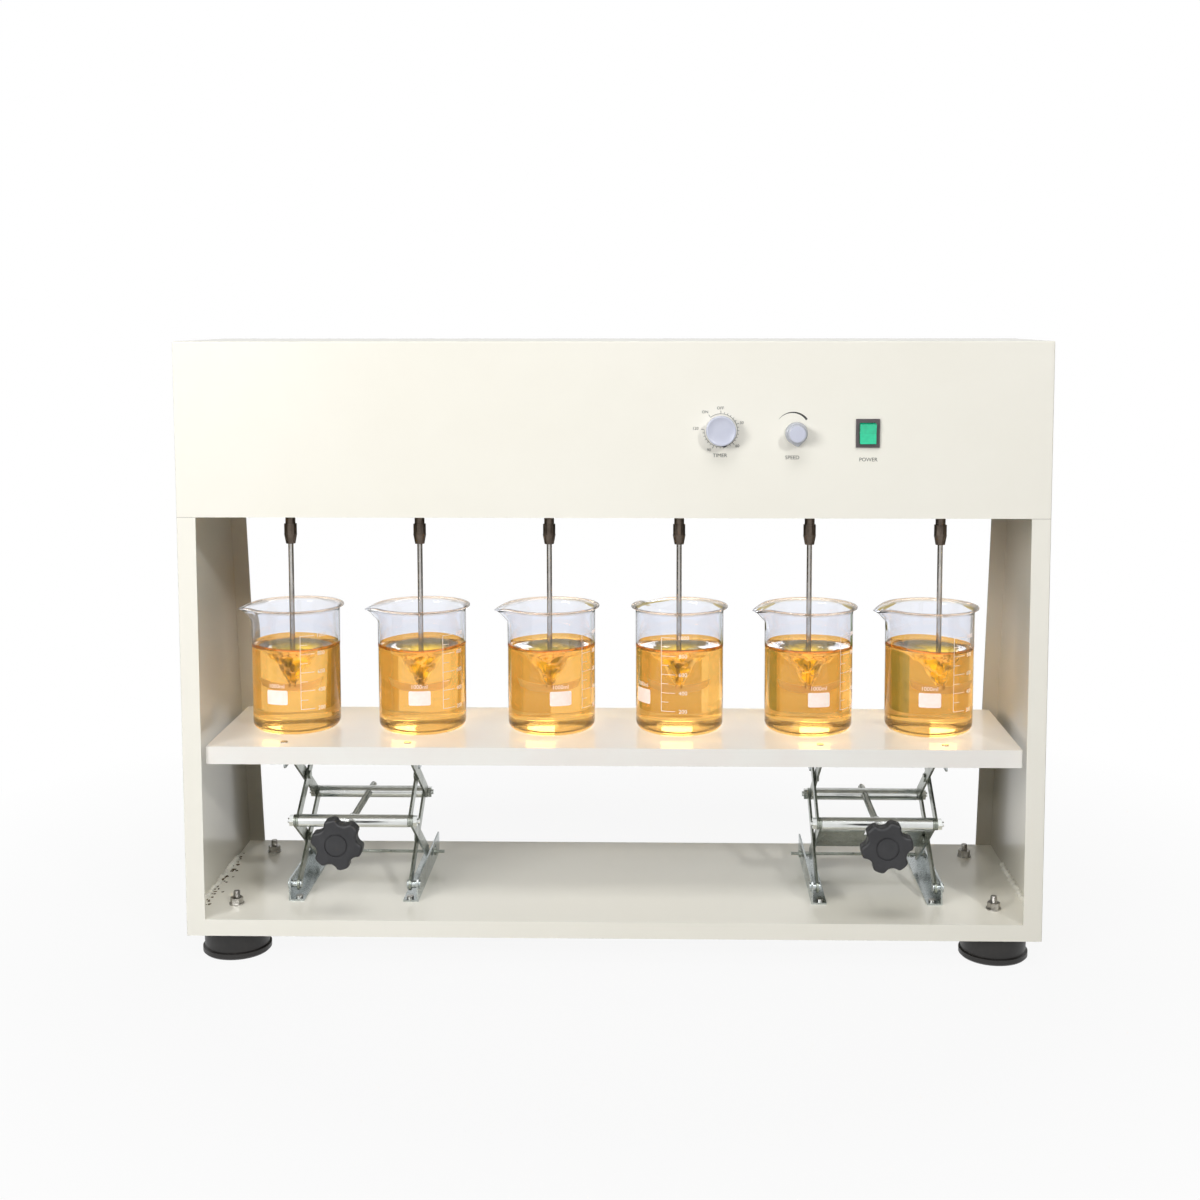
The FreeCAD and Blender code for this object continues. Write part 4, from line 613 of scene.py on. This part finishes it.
def buildLiquids():
    size, glass = liquidSizes, beakerSizes
    angle = fullTurn(size["sides"])
    reach = glass["radius"] - glass["wall"] + size["overlap"]
    corner = glass["corner"] - glass["wall"] * 0.6
    base = glass["base"] * 0.3
    under = np.vstack([[(0.004, base), (0.02, base)], arc(reach - corner, base + corner, corner, -90, 0, 12)])
    rings = turnedRings(under, angle)
    across = reach * np.linspace(1, 0.02, 56) ** 1.15
    for index in range(6):
        wallTop = liquidTop(np.full(len(angle), reach), angle, index)
        climb = np.linspace(0, 1, 10)[1:-1, None]
        wall = around(reach, angle, (base + corner) + (wallTop[None] - base - corner) * climb)
        topR, topA = np.meshgrid(across, angle, indexing="ij")
        top = around(topR, topA, liquidTop(topR, topA, index))
        shape = ringSurface(np.concatenate([rings, wall, top]))
        # the whirl stands over the rod, while the beaker may stand a little off it
        points = shape[0].copy()
        away = np.hypot(points[:, 0], points[:, 1]) / reach
        fade = np.clip(1 - away, 0, 1) * (points[:, 2] > size["level"] - 0.055)
        points[:, 0] -= glass["shift"][index] * fade
        piece = addPiece(f"sampleLiquid_{index + 1}", moved((points, shape[1], shape[2]), beakerCentre(index)),
                         "sampleLiquid", "shelf", sharpAngle=80)
        piece.visible_shadow = False
        # how far each point belongs to the whirl: 1 in its middle, 0 at the glass and below
        share = np.clip((0.92 - away) / 0.3, 0, 1)
        share *= np.arange(len(points)) >= (len(under) + len(wall)) * len(angle)
        share[-2] = 0.0   # the middle of the underside
        piece.data.attributes.new("whirl", "FLOAT", "POINT").data.foreach_set("value", share)


markSizes = {
    "labelAngle": (-13.4, 4.4, 15.8, -55.6, 9.1, -7.6), "lineOffset": 31.0, "proud": 0.00012,
    "labelWidth": 0.0252, "labelLow": 0.0372, "labelHigh": 0.0538, "wordsHeight": 0.0046, "wordsLow": 0.0565,
    "firstMark": 0.0315, "step": 0.02112, "line": 0.00055, "longTick": 0.0165, "shortTick": 0.0085,
    "numberHeight": 0.0046, "numberGap": 0.0205,
}


def bend(shape, index, direction, low):
    # flat x runs round the glass: angle = x / radius, flat y becomes height, flat z stands off the glass
    points, quads, triangles = shape
    radius = beakerSizes["radius"] + 0.00003 + points[:, 2]
    angle = math.radians(direction) + points[:, 0] / beakerSizes["radius"]
    bent = np.stack([radius * np.sin(angle), -radius * np.cos(angle), points[:, 1] + low], 1)
    return bent + beakerCentre(index), quads, triangles


def flatBar(left, low, right, high, columns, rounding=0.0):
    # a thin slab cut into columns; with rounding its corners follow a quarter circle
    x = np.linspace(left, right, columns)
    edge = np.minimum(x - left, right - x)
    cut = rounding - np.sqrt(np.clip(rounding ** 2 - (rounding - np.minimum(edge, rounding)) ** 2, 0, None))
    thick = markSizes["proud"]
    ring = np.stack([np.stack([x, y, 0 * x + z], 1) for y, z in
                     ((low + cut, 0), (high - cut, 0), (high - cut, thick), (low + cut, thick))], 1)
    count = len(x)
    points = ring.reshape(-1, 3)
    quads = gridFaces(count, 4)
    ends = np.array([[0, 1, 2, 3], [count * 4 - 1, count * 4 - 2, count * 4 - 3, count * 4 - 4]])
    return outward((points, np.vstack([quads, ends[:, ::-1]]), noTriangles))


def buildMarks():
    size = markSizes
    numbers = [textShape(str(200 * (i + 1)), size["numberHeight"], size["proud"]) for i in range(5)]
    words = centredWords("1000ml", size["wordsHeight"], size["proud"])
    for index in range(6):
        label, line = size["labelAngle"][index], size["labelAngle"][index] + size["lineOffset"]
        half = size["labelWidth"] / 2
        parts = [bend(flatBar(-half, size["labelLow"], half, size["labelHigh"], 40, 0.0016), index, label, 0),
                 bend(words, index, label, size["wordsLow"])]
        top = size["firstMark"] + 4 * size["step"]
        parts.append(bend(flatBar(0, size["firstMark"], size["line"], top, 2), index, line, 0))
        for tick in range(9):
            reach = size["longTick"] if tick % 2 == 0 else size["shortTick"]
            z = size["firstMark"] + tick * size["step"] / 2
            bar = flatBar(0, z - size["line"] / 2, reach, z + size["line"] / 2, 14)
            parts.append(bend(bar, index, line, 0))
        for i, number in enumerate(numbers):
            parts.append(bend(moved(number, (size["numberGap"], 0, size["proud"] / 2)), index, line,
                              size["firstMark"] + i * size["step"] - size["numberHeight"] / 2))
        addPiece(f"beakerMarks_{index + 1}", joined(parts), "enamelWithPaintedGlow", "shelf",
                 sharpAngle=30)


buildBeakers()
buildLiquids()
buildMarks()
print("beakers, liquids and marks made")


# ---- front panel: dial marks and knobs
timerX, _, timerZ = middleOf("timer_body")
speedX, _, speedZ = middleOf("speed_potentiometer")
dialSizes = {
    "ring": 0.0180, "line": 0.0004, "tick": 0.0019, "longTick": 0.0034, "perMinute": 2.275,
    "ringFrom": 322, "ringTo": 273,
    "labels": {"OFF": (359, 0.0243), "30": (69.6, 0.0241), "60": (133, 0.0246), "90": (211, 0.0247),
               "120": (274.6, 0.0272), "ON": (319.5, 0.0264)},
    "labelHeight": 0.0031, "nameHeight": 0.0040, "proud": 0.00012, "scaleAcross": -0.0034, "scaleUp": 0.0040,
    "scaleRadius": 0.0193, "scaleHalf": 53.4, "scaleThin": 0.0002, "scaleThick": 0.0024,
    "names": {"TIMER": (0.118, 0.5734), "SPEED": (0.1963, 0.5712), "POWER": (0.2787, 0.5690)},
}


def toPanel(shape, across, height):
    # flat x and y go to the panel's width and height, and flat z stands proud of it towards the front
    points, quads, triangles = shape
    flat = np.stack([points[:, 0] + across, frontY - 0.00002 - points[:, 2], points[:, 1] + height], 1)
    return flat, quads, triangles


def curvedBand(radius, start, end, inner, outer, count):
    # a band round a centre, clockwise angles from the top; inner and outer may change along it
    angle = np.radians(np.linspace(start, end, count))
    inside, outside = radius - inner, radius + outer
    thick = dialSizes["proud"]
    low = np.stack([inside * np.sin(angle), inside * np.cos(angle), 0 * angle], 1)
    high = np.stack([outside * np.sin(angle), outside * np.cos(angle), 0 * angle], 1)
    lift = np.array([0, 0, thick])
    rings = np.stack([low, high, high + lift, low + lift], 1)
    return ringSurface(rings)


def buildDials():
    size = dialSizes
    half = size["line"] / 2
    start = size["ringFrom"]
    ring = curvedBand(size["ring"], start - 360, size["ringTo"], half, half, 160)
    parts = [toPanel(ring, timerX, timerZ)]
    ticks = [(minute * size["perMinute"], size["longTick"] if minute % 30 == 0 else size["tick"])
             for minute in range(0, 121, 5)]
    wide = math.degrees(half / size["ring"])
    for turn, length in ticks + [(start, size["longTick"])]:
        parts.append(toPanel(curvedBand(size["ring"], turn - wide, turn + wide, 0, length, 3), timerX, timerZ))
    for words, (turn, far) in size["labels"].items():
        x, z = far * math.sin(math.radians(turn)), far * math.cos(math.radians(turn))
        letters = centredWords(words, size["labelHeight"], size["proud"])
        parts.append(toPanel(moved(letters, (x, z - size["labelHeight"] / 2, 0)), timerX, timerZ))
    sweep = np.linspace(0, 1, 60)
    grow = size["scaleThin"] + (size["scaleThick"] - size["scaleThin"]) * sweep
    parts.append(toPanel(curvedBand(size["scaleRadius"], -size["scaleHalf"], size["scaleHalf"], grow, 0, 60),
                         speedX + size["scaleAcross"], speedZ + size["scaleUp"]))
    for words, (across, low) in size["names"].items():
        parts.append(toPanel(centredWords(words, size["nameHeight"], size["proud"]), across, low))
    addPiece("dialMarks", joined(parts), "dialInk", "frame", sharpAngle=30)


knobSizes = {
    "timerRadius": 0.0162, "timerHeight": 0.0150, "gap": 0.0006, "timerTurn": 167, "ridges": 60,
    "ridgeDepth": 0.00022,
    "speedSkirt": 0.0124, "speedTip": 0.0158, "speedTurn": 173, "skirtHeight": 0.0050,
    "speedCap": 0.0093, "capHeight": 0.0130,
}


def toKnob(shape, across, height, turn):
    # a knob made standing up on z is laid with its face to the front and its mark turned clockwise from the top
    points, quads, triangles = shape
    a = math.radians(turn)
    x = points[:, 0] * math.cos(a) + points[:, 1] * math.sin(a)
    z = -points[:, 0] * math.sin(a) + points[:, 1] * math.cos(a)
    laid = np.stack([x + across, frontY - knobSizes["gap"] - points[:, 2], z + height], 1)
    return outward((laid, quads, triangles))


def buildKnobs():
    size = knobSizes
    r, h = size["timerRadius"], size["timerHeight"]
    angle = fullTurn(240)
    profile = np.vstack([[(r * 0.94, 0.0), (r, 0.0006), (r, h - 0.0016)],
                         arc(r - 0.0013, h - 0.0013, 0.0013, 10, 90, 6),
                         [(r - 0.0022, h - 0.0002), (r - 0.0026, h - 0.0005), (r * 0.4, h - 0.0005),
                          (r * 0.03, h - 0.0005)]])
    # the grip: radius less a small share of |cos| of half the ridge count, only on the side wall
    side = ((profile[:, 1] > 0.001) & (profile[:, 1] < h - 0.0012)).astype(float)[:, None]
    radius = profile[:, :1] - size["ridgeDepth"] * side * np.abs(np.cos(size["ridges"] / 2 * angle))
    rings = around(radius, angle, profile[:, 1:])
    timer = addPiece("timerKnob", toKnob(ringSurface(rings), timerX, timerZ, size["timerTurn"]),
                     "knobGrey", "timer_knob", sharpAngle=50)
    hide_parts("timer_knob")
    t = np.linspace(0, 1, 8)
    widths = 0.0030 * (1 - t ** 2) + 0.0006
    outline = np.stack([widths, r - 0.0012 + 0.0036 * t], 1)
    loop = np.vstack([outline, outline[::-1] * [-1, 1]])
    level = np.array([0.0, h * 0.42, h * 0.50, h * 0.52])
    shrink = np.array([1.0, 1.0, 0.9, 0.6])
    middle = np.array([0, r])
    rings = np.stack([np.column_stack([(loop - middle) * k + middle, np.full(len(loop), z)])
                      for k, z in zip(shrink, level)])
    addPiece("timerPointer", toKnob(ringSurface(rings), timerX, timerZ, size["timerTurn"]),
             "knobBlack", "timer_knob", sharpAngle=50)

    # the skirt's outline is a circle drawn out to a point by two tangents, like the beaker's spout
    half = math.acos(size["speedSkirt"] / size["speedTip"])
    fromTip = np.abs(np.angle(np.exp(1j * (angle - np.pi / 2))))
    outline = size["speedSkirt"] * tangents(fromTip, half, 0.07)
    steps = [(0.97, 0.0), (1.0, 0.0004), (0.99, 0.0016), (0.95, 0.0034), (0.90, 0.0046),
             (0.83, size["skirtHeight"]), (0.3, size["skirtHeight"])]
    rings = levelRings(outline, angle, steps)
    skirt = addPiece("speedSkirt", toKnob(ringSurface(rings), speedX, speedZ, size["speedTurn"]),
                     "knobSkirt", "speed_knob", sharpAngle=50)
    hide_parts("speed_knob")
    c, low, top = size["speedCap"], size["skirtHeight"] - 0.0005, size["skirtHeight"] + size["capHeight"]
    profile = np.vstack([[(c * 0.9, low), (c, low + 0.0004), (c * 0.97, top - 0.002)],
                         arc(c * 0.97 - 0.0012, top - 0.0012, 0.0012, 10, 90, 6),
                         [(c * 0.4, top - 0.0001), (c * 0.03, top - 0.0001)]])
    addPiece("speedCap", toKnob(lathe(profile, 96), speedX, speedZ, 0),
             "knobGrey", "speed_knob", sharpAngle=50)


buildDials()
buildKnobs()
print("dials and knobs made")


# ---- threads
threadSizes = {"radius": 0.0040, "pitch": 0.00125, "depth": 0.00075, "sides": 16, "perTurn": 5,
               "seat": 0.00755, "collar": 0.005, "headFlats": 0.013, "headHeight": 0.0053}


def threadedRod(length):
    # along z, radius = crest - depth * |2 * frac(z / pitch - a / 2 pi) - 1|, fading to plain at both ends
    size = threadSizes
    rows = max(8, int(length / size["pitch"] * size["perTurn"]))
    z, angle = np.meshgrid(np.linspace(0, length, rows), fullTurn(size["sides"]), indexing="ij")
    phase = (z / size["pitch"] - angle / (2 * np.pi)) % 1.0
    ends = np.clip(np.minimum(z, length - z) / 0.001, 0, 1)
    radius = size["radius"] - size["depth"] * np.abs(2 * phase - 1) * ends - 0.0008 * (1 - ends)
    return ringSurface(around(radius, angle, z))


def hexHead(flats, height, sides=72):
    # six flats: radius = half the flats / cos of the angle to the nearest flat, with both ends bevelled round
    angle = fullTurn(sides)
    flat = flats / 2 / np.cos((angle + np.pi / 6) % (np.pi / 3) - np.pi / 6)
    outline = np.minimum(flat, flats * 0.545)
    steps = [(0.96, 0.0), (1.0, height * 0.1), (1.0, height * 0.88), (0.94, height), (0.4, height)]
    return ringSurface(levelRings(outline, angle, steps))


layForward = Matrix.Rotation(math.radians(-90), 4, "X")   # z turns to +y


def buildLeadScrews():
    for side in ("left", "right"):
        low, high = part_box(f"{side}_lead_screw")
        across, _, height = middleOf(f"{side}_lead_screw")
        middle = middleOf(f"{side}_front_bar")[1]
        seat, thick = threadSizes["seat"], threadSizes["collar"]
        collar = lathe([(0.0042, 0), (0.0054, 0), (0.0057, 0.0004), (0.0057, thick - 0.0004), (0.0053, thick),
                        (0.0042, thick)], 48)
        parts = [moved(threadedRod(high.y - low.y), (across, low.y, height), layForward),
                 moved(collar, (across, middle + seat, height), layForward),
                 moved(collar, (across, middle - seat - thick, height), layForward)]
        piece = addPiece(f"{side}ThreadedScrew", joined(parts), "brightBar", f"{side}_screw",
                         sharpAngle=60)
        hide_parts(f"{side}_lead_screw")


def buildFootBolts():
    low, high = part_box("foot_bolts")
    parts = []
    for name in ("front_left_foot", "front_right_foot", "rear_left_foot", "rear_right_foot"):
        x, y, _ = middleOf(name)
        parts.append(moved(threadedRod(high.z - low.z), (x, y, low.z)))
        parts.append(moved(hexHead(threadSizes["headFlats"], threadSizes["headHeight"]), (x, y, low.z)))
    piece = addPiece("footBolts", joined(parts), "screwSteel", "frame", sharpAngle=50)
    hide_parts("foot_bolts")


buildLeadScrews()
buildFootBolts()
print("threads made")


# ---- weld beads and the dirt left beside them
weldSizes = {"radius": 0.0026, "lump": 0.45, "right": (0.045, 0.205), "left": (0.05, 0.215), "inset": 0.0012,
             "rightSeed": 3, "leftSeed": 5, "dirtFrom": 0.03, "dirtLength": 0.20, "dirtInset": 0.003,
             "dirtCount": 46, "dirtSpread": 0.016, "dirtSeed": 8}
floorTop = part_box("base_tray")[1].z
innerX = outerX - 0.002


def weldBead(across, back, length, seed):
    # a run along y whose radius swells every few millimetres, and whose line wanders from side to side
    chance = np.random.default_rng(seed)
    rows, sides = int(length / 0.0009), 14
    s = np.linspace(0, length, rows)
    wander = np.interp(s, np.linspace(0, length, 24), chance.normal(0, 0.0009, 24))
    swell = np.interp(s, np.linspace(0, length, 40), chance.uniform(0.55, 1.35, 40))
    lumps = 1 + weldSizes["lump"] * np.abs(np.sin(s / 0.0042))
    radius = weldSizes["radius"] * swell * lumps * np.clip(np.minimum(s, length - s) / 0.004, 0.1, 1)
    angle = fullTurn(sides)
    x = across + wander[:, None] + radius[:, None] * np.cos(angle)
    x = np.clip(x, -innerX - 0.0005, innerX + 0.0005)
    z = floorTop + 0.0006 + radius[:, None] * np.sin(angle) * 0.9
    y = np.broadcast_to(back + s[:, None], x.shape)
    return ringSurface(np.stack([x, y, z], -1))


def spatter(across, back, length, count, spreadX, seed):
    # low domes of uneven outline scattered beside a bead, more of them close to it
    chance = np.random.default_rng(seed)
    angle = fullTurn(12)
    parts = []
    for _ in range(count):
        size = chance.uniform(0.0006, 0.0022)
        outline = size * (1 + 0.35 * chance.normal(0, 1, 12).clip(-1.2, 1.2))
        x = across + spreadX * chance.exponential(0.32)
        centre = np.array([x, back + chance.uniform(0, length), floorTop])
        rings = levelRings(outline, angle, ((1.0, -0.0001), (0.8, 0.0004), (0.35, 0.0007)))
        parts.append(moved(ringSurface(rings * [1, 1.3, 1]), centre))
    shape = joined(parts)
    shape[0][:, 0] = np.clip(shape[0][:, 0], -innerX, innerX)
    return shape


def buildWelds():
    size = weldSizes
    edge = innerX - size["inset"]
    right = weldBead(edge, frontY + size["right"][0], size["right"][1] - size["right"][0], size["rightSeed"])
    left = weldBead(-edge, frontY + size["left"][0], size["left"][1] - size["left"][0], size["leftSeed"])
    addPiece("weldBeads", joined([right, left]), "creamPaint", "frame", sharpAngle=80)
    dirt = spatter(size["dirtInset"] - innerX, frontY + size["dirtFrom"], size["dirtLength"], size["dirtCount"],
                   size["dirtSpread"], size["dirtSeed"])
    addPiece("weldDirt", dirt, "weldDirt", "frame", sharpAngle=80)


seamSizes = {"thick": 0.00035, "proud": 0.00008, "legWidth": 0.0425, "inset": 0.0005}


def buildSeamShadows():
    # hairline joints where the head cover meets the two legs: thin dark strips on the front faces, a painted
    # shadow of the gap
    size = seamSizes
    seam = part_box("head_cover")[0].z
    near, far = outerX - size["legWidth"], outerX - size["inset"]
    bars = []
    for left, right in ((-far, -near), (near, far)):
        low, high = seam - size["thick"], seam
        corners = np.array([(x, y, z) for x in (left, right) for y in (frontY - size["proud"], frontY + 0.0004)
                            for z in (low, high)])
        quads = np.array([[0, 1, 3, 2], [4, 6, 7, 5], [0, 4, 5, 1], [2, 3, 7, 6], [0, 2, 6, 4], [1, 5, 7, 3]])
        bars.append(outward((corners, quads, noTriangles)))
    addPiece("legSeamShadows", joined(bars), "seamPaintedShadow", "frame")


buildWelds()
buildSeamShadows()
print("welds and seams made")


# ---- finishes of the solid pieces
finishOf = {
    "creamPaint": ("base_tray", "head_cover", "head_rear_panel", "motor_plate"),
    "shelfPaint": ("shelf_tray",),
    # the side frames take the paint with the painted shade inside their channels
    "channelPaintedShade": ("left_side_frame", "right_side_frame"),
    "zincPlate": ("floor_rails", "shelf_rails"),
    "footRubber": ("front_left_foot", "front_right_foot", "rear_left_foot", "rear_right_foot"),
    "screwSteel": ("foot_nuts", "foot_bolts", "frame_screws", "shelf_screws"),
    "motorCase": ("drive_motors", "speed_potentiometer"),
    "boardGreen": ("control_board",),
    "glandBlack": ("timer_body", "cable_gland"),
    "switchFrame": ("switch_housing",),
    "rockerGreen": ("power_rocker",),
    "knobGrey": ("timer_knob", "speed_knob"),
    "knobBlack": ("left_star_knob", "right_star_knob"),
    "zincArm": tuple(f"{side}_{level}_{end}_arms" for side in ("left", "right") for level in ("lower", "upper")
                     for end in ("front", "rear")),
    "brightBar": tuple(f"{side}_{piece}" for side in ("left", "right")
                       for piece in ("front_bar", "rear_bar", "lead_screw")),
    "chuckMetal": tuple(f"chuck_{i}" for i in range(1, 7)),
    "stainlessRod": tuple(f"stirrer_{i}" for i in range(1, 7)),
    "clearGlass": tuple(f"beaker_{i}" for i in range(1, 7)),
}
for finish, names in finishOf.items():
    for name in names:
        for slot in nodes[name].material_slots:
            slot.material = finishes[finish]
print("finishes set on", sum(len(names) for names in finishOf.values()), "nodes")


# ---- studio
studio = {
    "worldFront": 0.08, "worldRear": 0.03, "floorShade": "bebebe", "floorGlowNear": 0.92, "floorGlowFar": 1.0,
    "key": {"place": (2.0, -3.3, 2.4), "size": (0.3, 0.3), "power": 46.0},
    "fill": {"place": (-1.6, -2.1, 1.2), "size": (1.0, 0.8), "power": 36.0},
    "top": {"place": (0.0, -1.6, 3.0), "size": (1.6, 0.8), "power": 27.0},
    "rear": {"place": (0.2, 3.0, 1.5), "size": (1.2, 0.8), "power": 19.0},
}


def seenDirectly(tree):
    # one for camera, mirror and see-through rays, so glass and metal show the same white as the camera
    path = addNode(tree, "ShaderNodeLightPath").outputs
    mirrored = addMath(tree, "MAXIMUM", path["Is Camera Ray"], path["Is Glossy Ray"])
    return addMath(tree, "MAXIMUM", mirrored, path["Is Transmission Ray"])


def buildWorld():
    world = bpy.data.worlds.new("studioWorld")
    bpy.context.scene.world = world
    world.use_nodes = True
    tree = world.node_tree
    tree.nodes.clear()
    # the room is dimmer behind the object than in front of it
    facing = addNode(tree, "ShaderNodeTexCoord").outputs["Generated"]
    depth = addNode(tree, "ShaderNodeSeparateXYZ", Vector=facing).outputs["Y"]
    lit = addNode(tree, "ShaderNodeBackground", Color=(0.96, 0.98, 1.0, 1),
                  Strength=mapRange(tree, depth, studio["worldFront"], studio["worldRear"], -0.3, 0.5))
    seen = addNode(tree, "ShaderNodeBackground", Color=(1, 1, 1, 1), Strength=1.0)
    mix = mixShaders(tree, seenDirectly(tree), lit.outputs[0], seen.outputs[0])
    tree.links.new(mix, addNode(tree, "ShaderNodeOutputWorld").inputs[0])


def buildFloor():
    mesh = bpy.data.meshes.new("studioFloor")
    mesh.from_pydata([(x, y, -0.0002) for x, y in ((-8, -8), (8, -8), (8, 8), (-8, 8))], [], [(0, 1, 2, 3)])
    floor = placed("studioFloor", mesh)
    material, tree, surface = emptyMaterial("studioPaper")
    paper = addNode(tree, "ShaderNodeBsdfDiffuse", Color=tone(studio["floorShade"]))
    glow = addNode(tree, "ShaderNodeEmission", Color=(1, 1, 1, 1), Strength=1.0)
    # mostly white glow over a little of the shaded paper near the middle, plain white further out
    distance = addNode(tree, "ShaderNodeVectorMath", operation="LENGTH")
    feed(tree, distance.inputs[0], objectPoint(tree))
    reach = mapRange(tree, distance.outputs["Value"], studio["floorGlowNear"], studio["floorGlowFar"], 0.5, 1.1)
    share = addMath(tree, "MULTIPLY", seenDirectly(tree), reach)
    tree.links.new(mixShaders(tree, share, paper.outputs[0], glow.outputs[0]), surface)
    mesh.materials.append(material)


def addLamp(name, place, size, power, mirrored=True, target=(0, 0, 0.35)):
    light = bpy.data.lights.new(name, "AREA")
    light.shape = "RECTANGLE"
    light.size, light.size_y = size
    light.energy = power
    lamp = placed(name, light)
    lamp.visible_glossy = mirrored
    lamp.location = place
    lamp.rotation_euler = (Vector(target) - Vector(place)).to_track_quat("-Z", "Y").to_euler()


# y is counted from the front of the object, and an upright card is (left, right, low, high, y)
cardSizes = {
    "surfaces": 2.5,
    "side": {"x": 1.3, "reach": 1.2, "high": 0.5, "color": "2b2a22"},
    "rear": {"near": (-0.52, 0.52, 0.385, 0.60, 0.4), "far": (-2.2, 2.2, 0.0, 0.36, 1.2), "color": "40402c"},
    "bench": {"place": (-0.12, 0.68, 0.0, 0.185, 0.9), "color": "cdb878"},
    "curtain": {"place": (0.68, 1.8, 0.0, 0.20, 0.9), "color": "6e8426"},
    "corner": {"left": -3.0, "right": -0.85, "rearRight": -1.7, "y": 0.9, "depth": 0.8, "z": 0.004,
               "color": "b8a446"},
}


def addCard(name, corners, color, inGlass=True, inMetal=True):
    # a card beyond the picture: inGlass lets it be seen through glass and liquid, inMetal in mirror images
    mesh = bpy.data.meshes.new(name)
    mesh.from_pydata(corners, [], np.arange(len(corners)).reshape(-1, 4).tolist())
    card = placed(name, mesh)
    material, tree, surface = emptyMaterial(name)
    glow = addNode(tree, "ShaderNodeEmission", Color=tone(color), Strength=1.0)
    # light that crossed three or more surfaces passes the card; this did not clear the patches of card
    # that show through empty glass from raised side views
    depth = addNode(tree, "ShaderNodeLightPath").outputs["Transmission Depth"]
    clear = addNode(tree, "ShaderNodeBsdfTransparent")
    shallow = addMath(tree, "LESS_THAN", depth, cardSizes["surfaces"])
    tree.links.new(mixShaders(tree, shallow, clear.outputs[0], glow.outputs[0]), surface)
    mesh.materials.append(material)
    card.visible_camera = False
    card.visible_diffuse = False
    card.visible_shadow = False
    card.visible_transmission = inGlass
    card.visible_glossy = inMetal


cameraPlace = {"lens": 48.855, "shiftX": -0.023, "shiftY": -0.1145, "place": (0.0553, -1.7624, 0.7255),
               "yaw": -0.0213, "pitch": 0.0895, "roll": -0.0007}


def buildCamera():
    size = cameraPlace
    data = bpy.data.cameras.new("mainCamera")
    data.lens, data.sensor_width = size["lens"], 36.0
    data.shift_x, data.shift_y = size["shiftX"], size["shiftY"]
    data.clip_end = 50
    camera = placed("mainCamera", data)
    yaw, pitch, roll = size["yaw"], size["pitch"], size["roll"]
    ahead = Vector((math.sin(yaw) * math.cos(pitch), math.cos(yaw) * math.cos(pitch), -math.sin(pitch)))
    level = Vector((math.cos(yaw), -math.sin(yaw), 0))
    upright = level.cross(ahead)
    right = level * math.cos(roll) + upright * math.sin(roll)
    up = upright * math.cos(roll) - level * math.sin(roll)
    turn = Matrix((right, up, -ahead)).transposed()
    x, y, z = size["place"]
    camera.matrix_world = Matrix.Translation((x, y + frontY, z)) @ turn.to_4x4()
    bpy.context.scene.camera = camera


buildWorld()
buildFloor()
buildCamera()
for name in ("key", "fill", "top", "rear"):
    addLamp(f"{name}Lamp", mirrored=name != "rear", **studio[name])


def standing(left, right, low, high, y):
    y += frontY
    return [(left, y, low), (right, y, low), (right, y, high), (left, y, high)]


def buildCards():
    size = cardSizes["side"]
    for side, x in (("left", -size["x"]), ("right", size["x"])):
        reach, high = size["reach"], size["high"]
        corners = [(x, y, z) for y, z in ((-reach, 0.0), (reach, 0.0), (reach, high), (-reach, high))]
        addCard(f"{side}Card", corners, size["color"], inGlass=False)
    # dark strips behind the machine: the near one is mirrored in the water tops, the far one in the side webs
    size = cardSizes["rear"]
    addCard("rearCards", standing(*size["near"]) + standing(*size["far"]), size["color"], inGlass=False)
    # what the liquid bends into view: a pale bench edge, a dark green curtain on the right, a brown corner left
    for name in ("bench", "curtain"):
        addCard(f"{name}Card", standing(*cardSizes[name]["place"]), cardSizes[name]["color"], inMetal=False)
    size = cardSizes["corner"]
    front, z = frontY + size["y"], size["z"]
    addCard("cornerCard", [(size["right"], front, z), (size["rearRight"], front + size["depth"], z),
                           (size["left"], front + size["depth"], z), (size["left"], front, z)],
            size["color"], inMetal=False)


buildCards()
bpy.context.scene.view_settings.view_transform = "Standard"
print("studio ready")
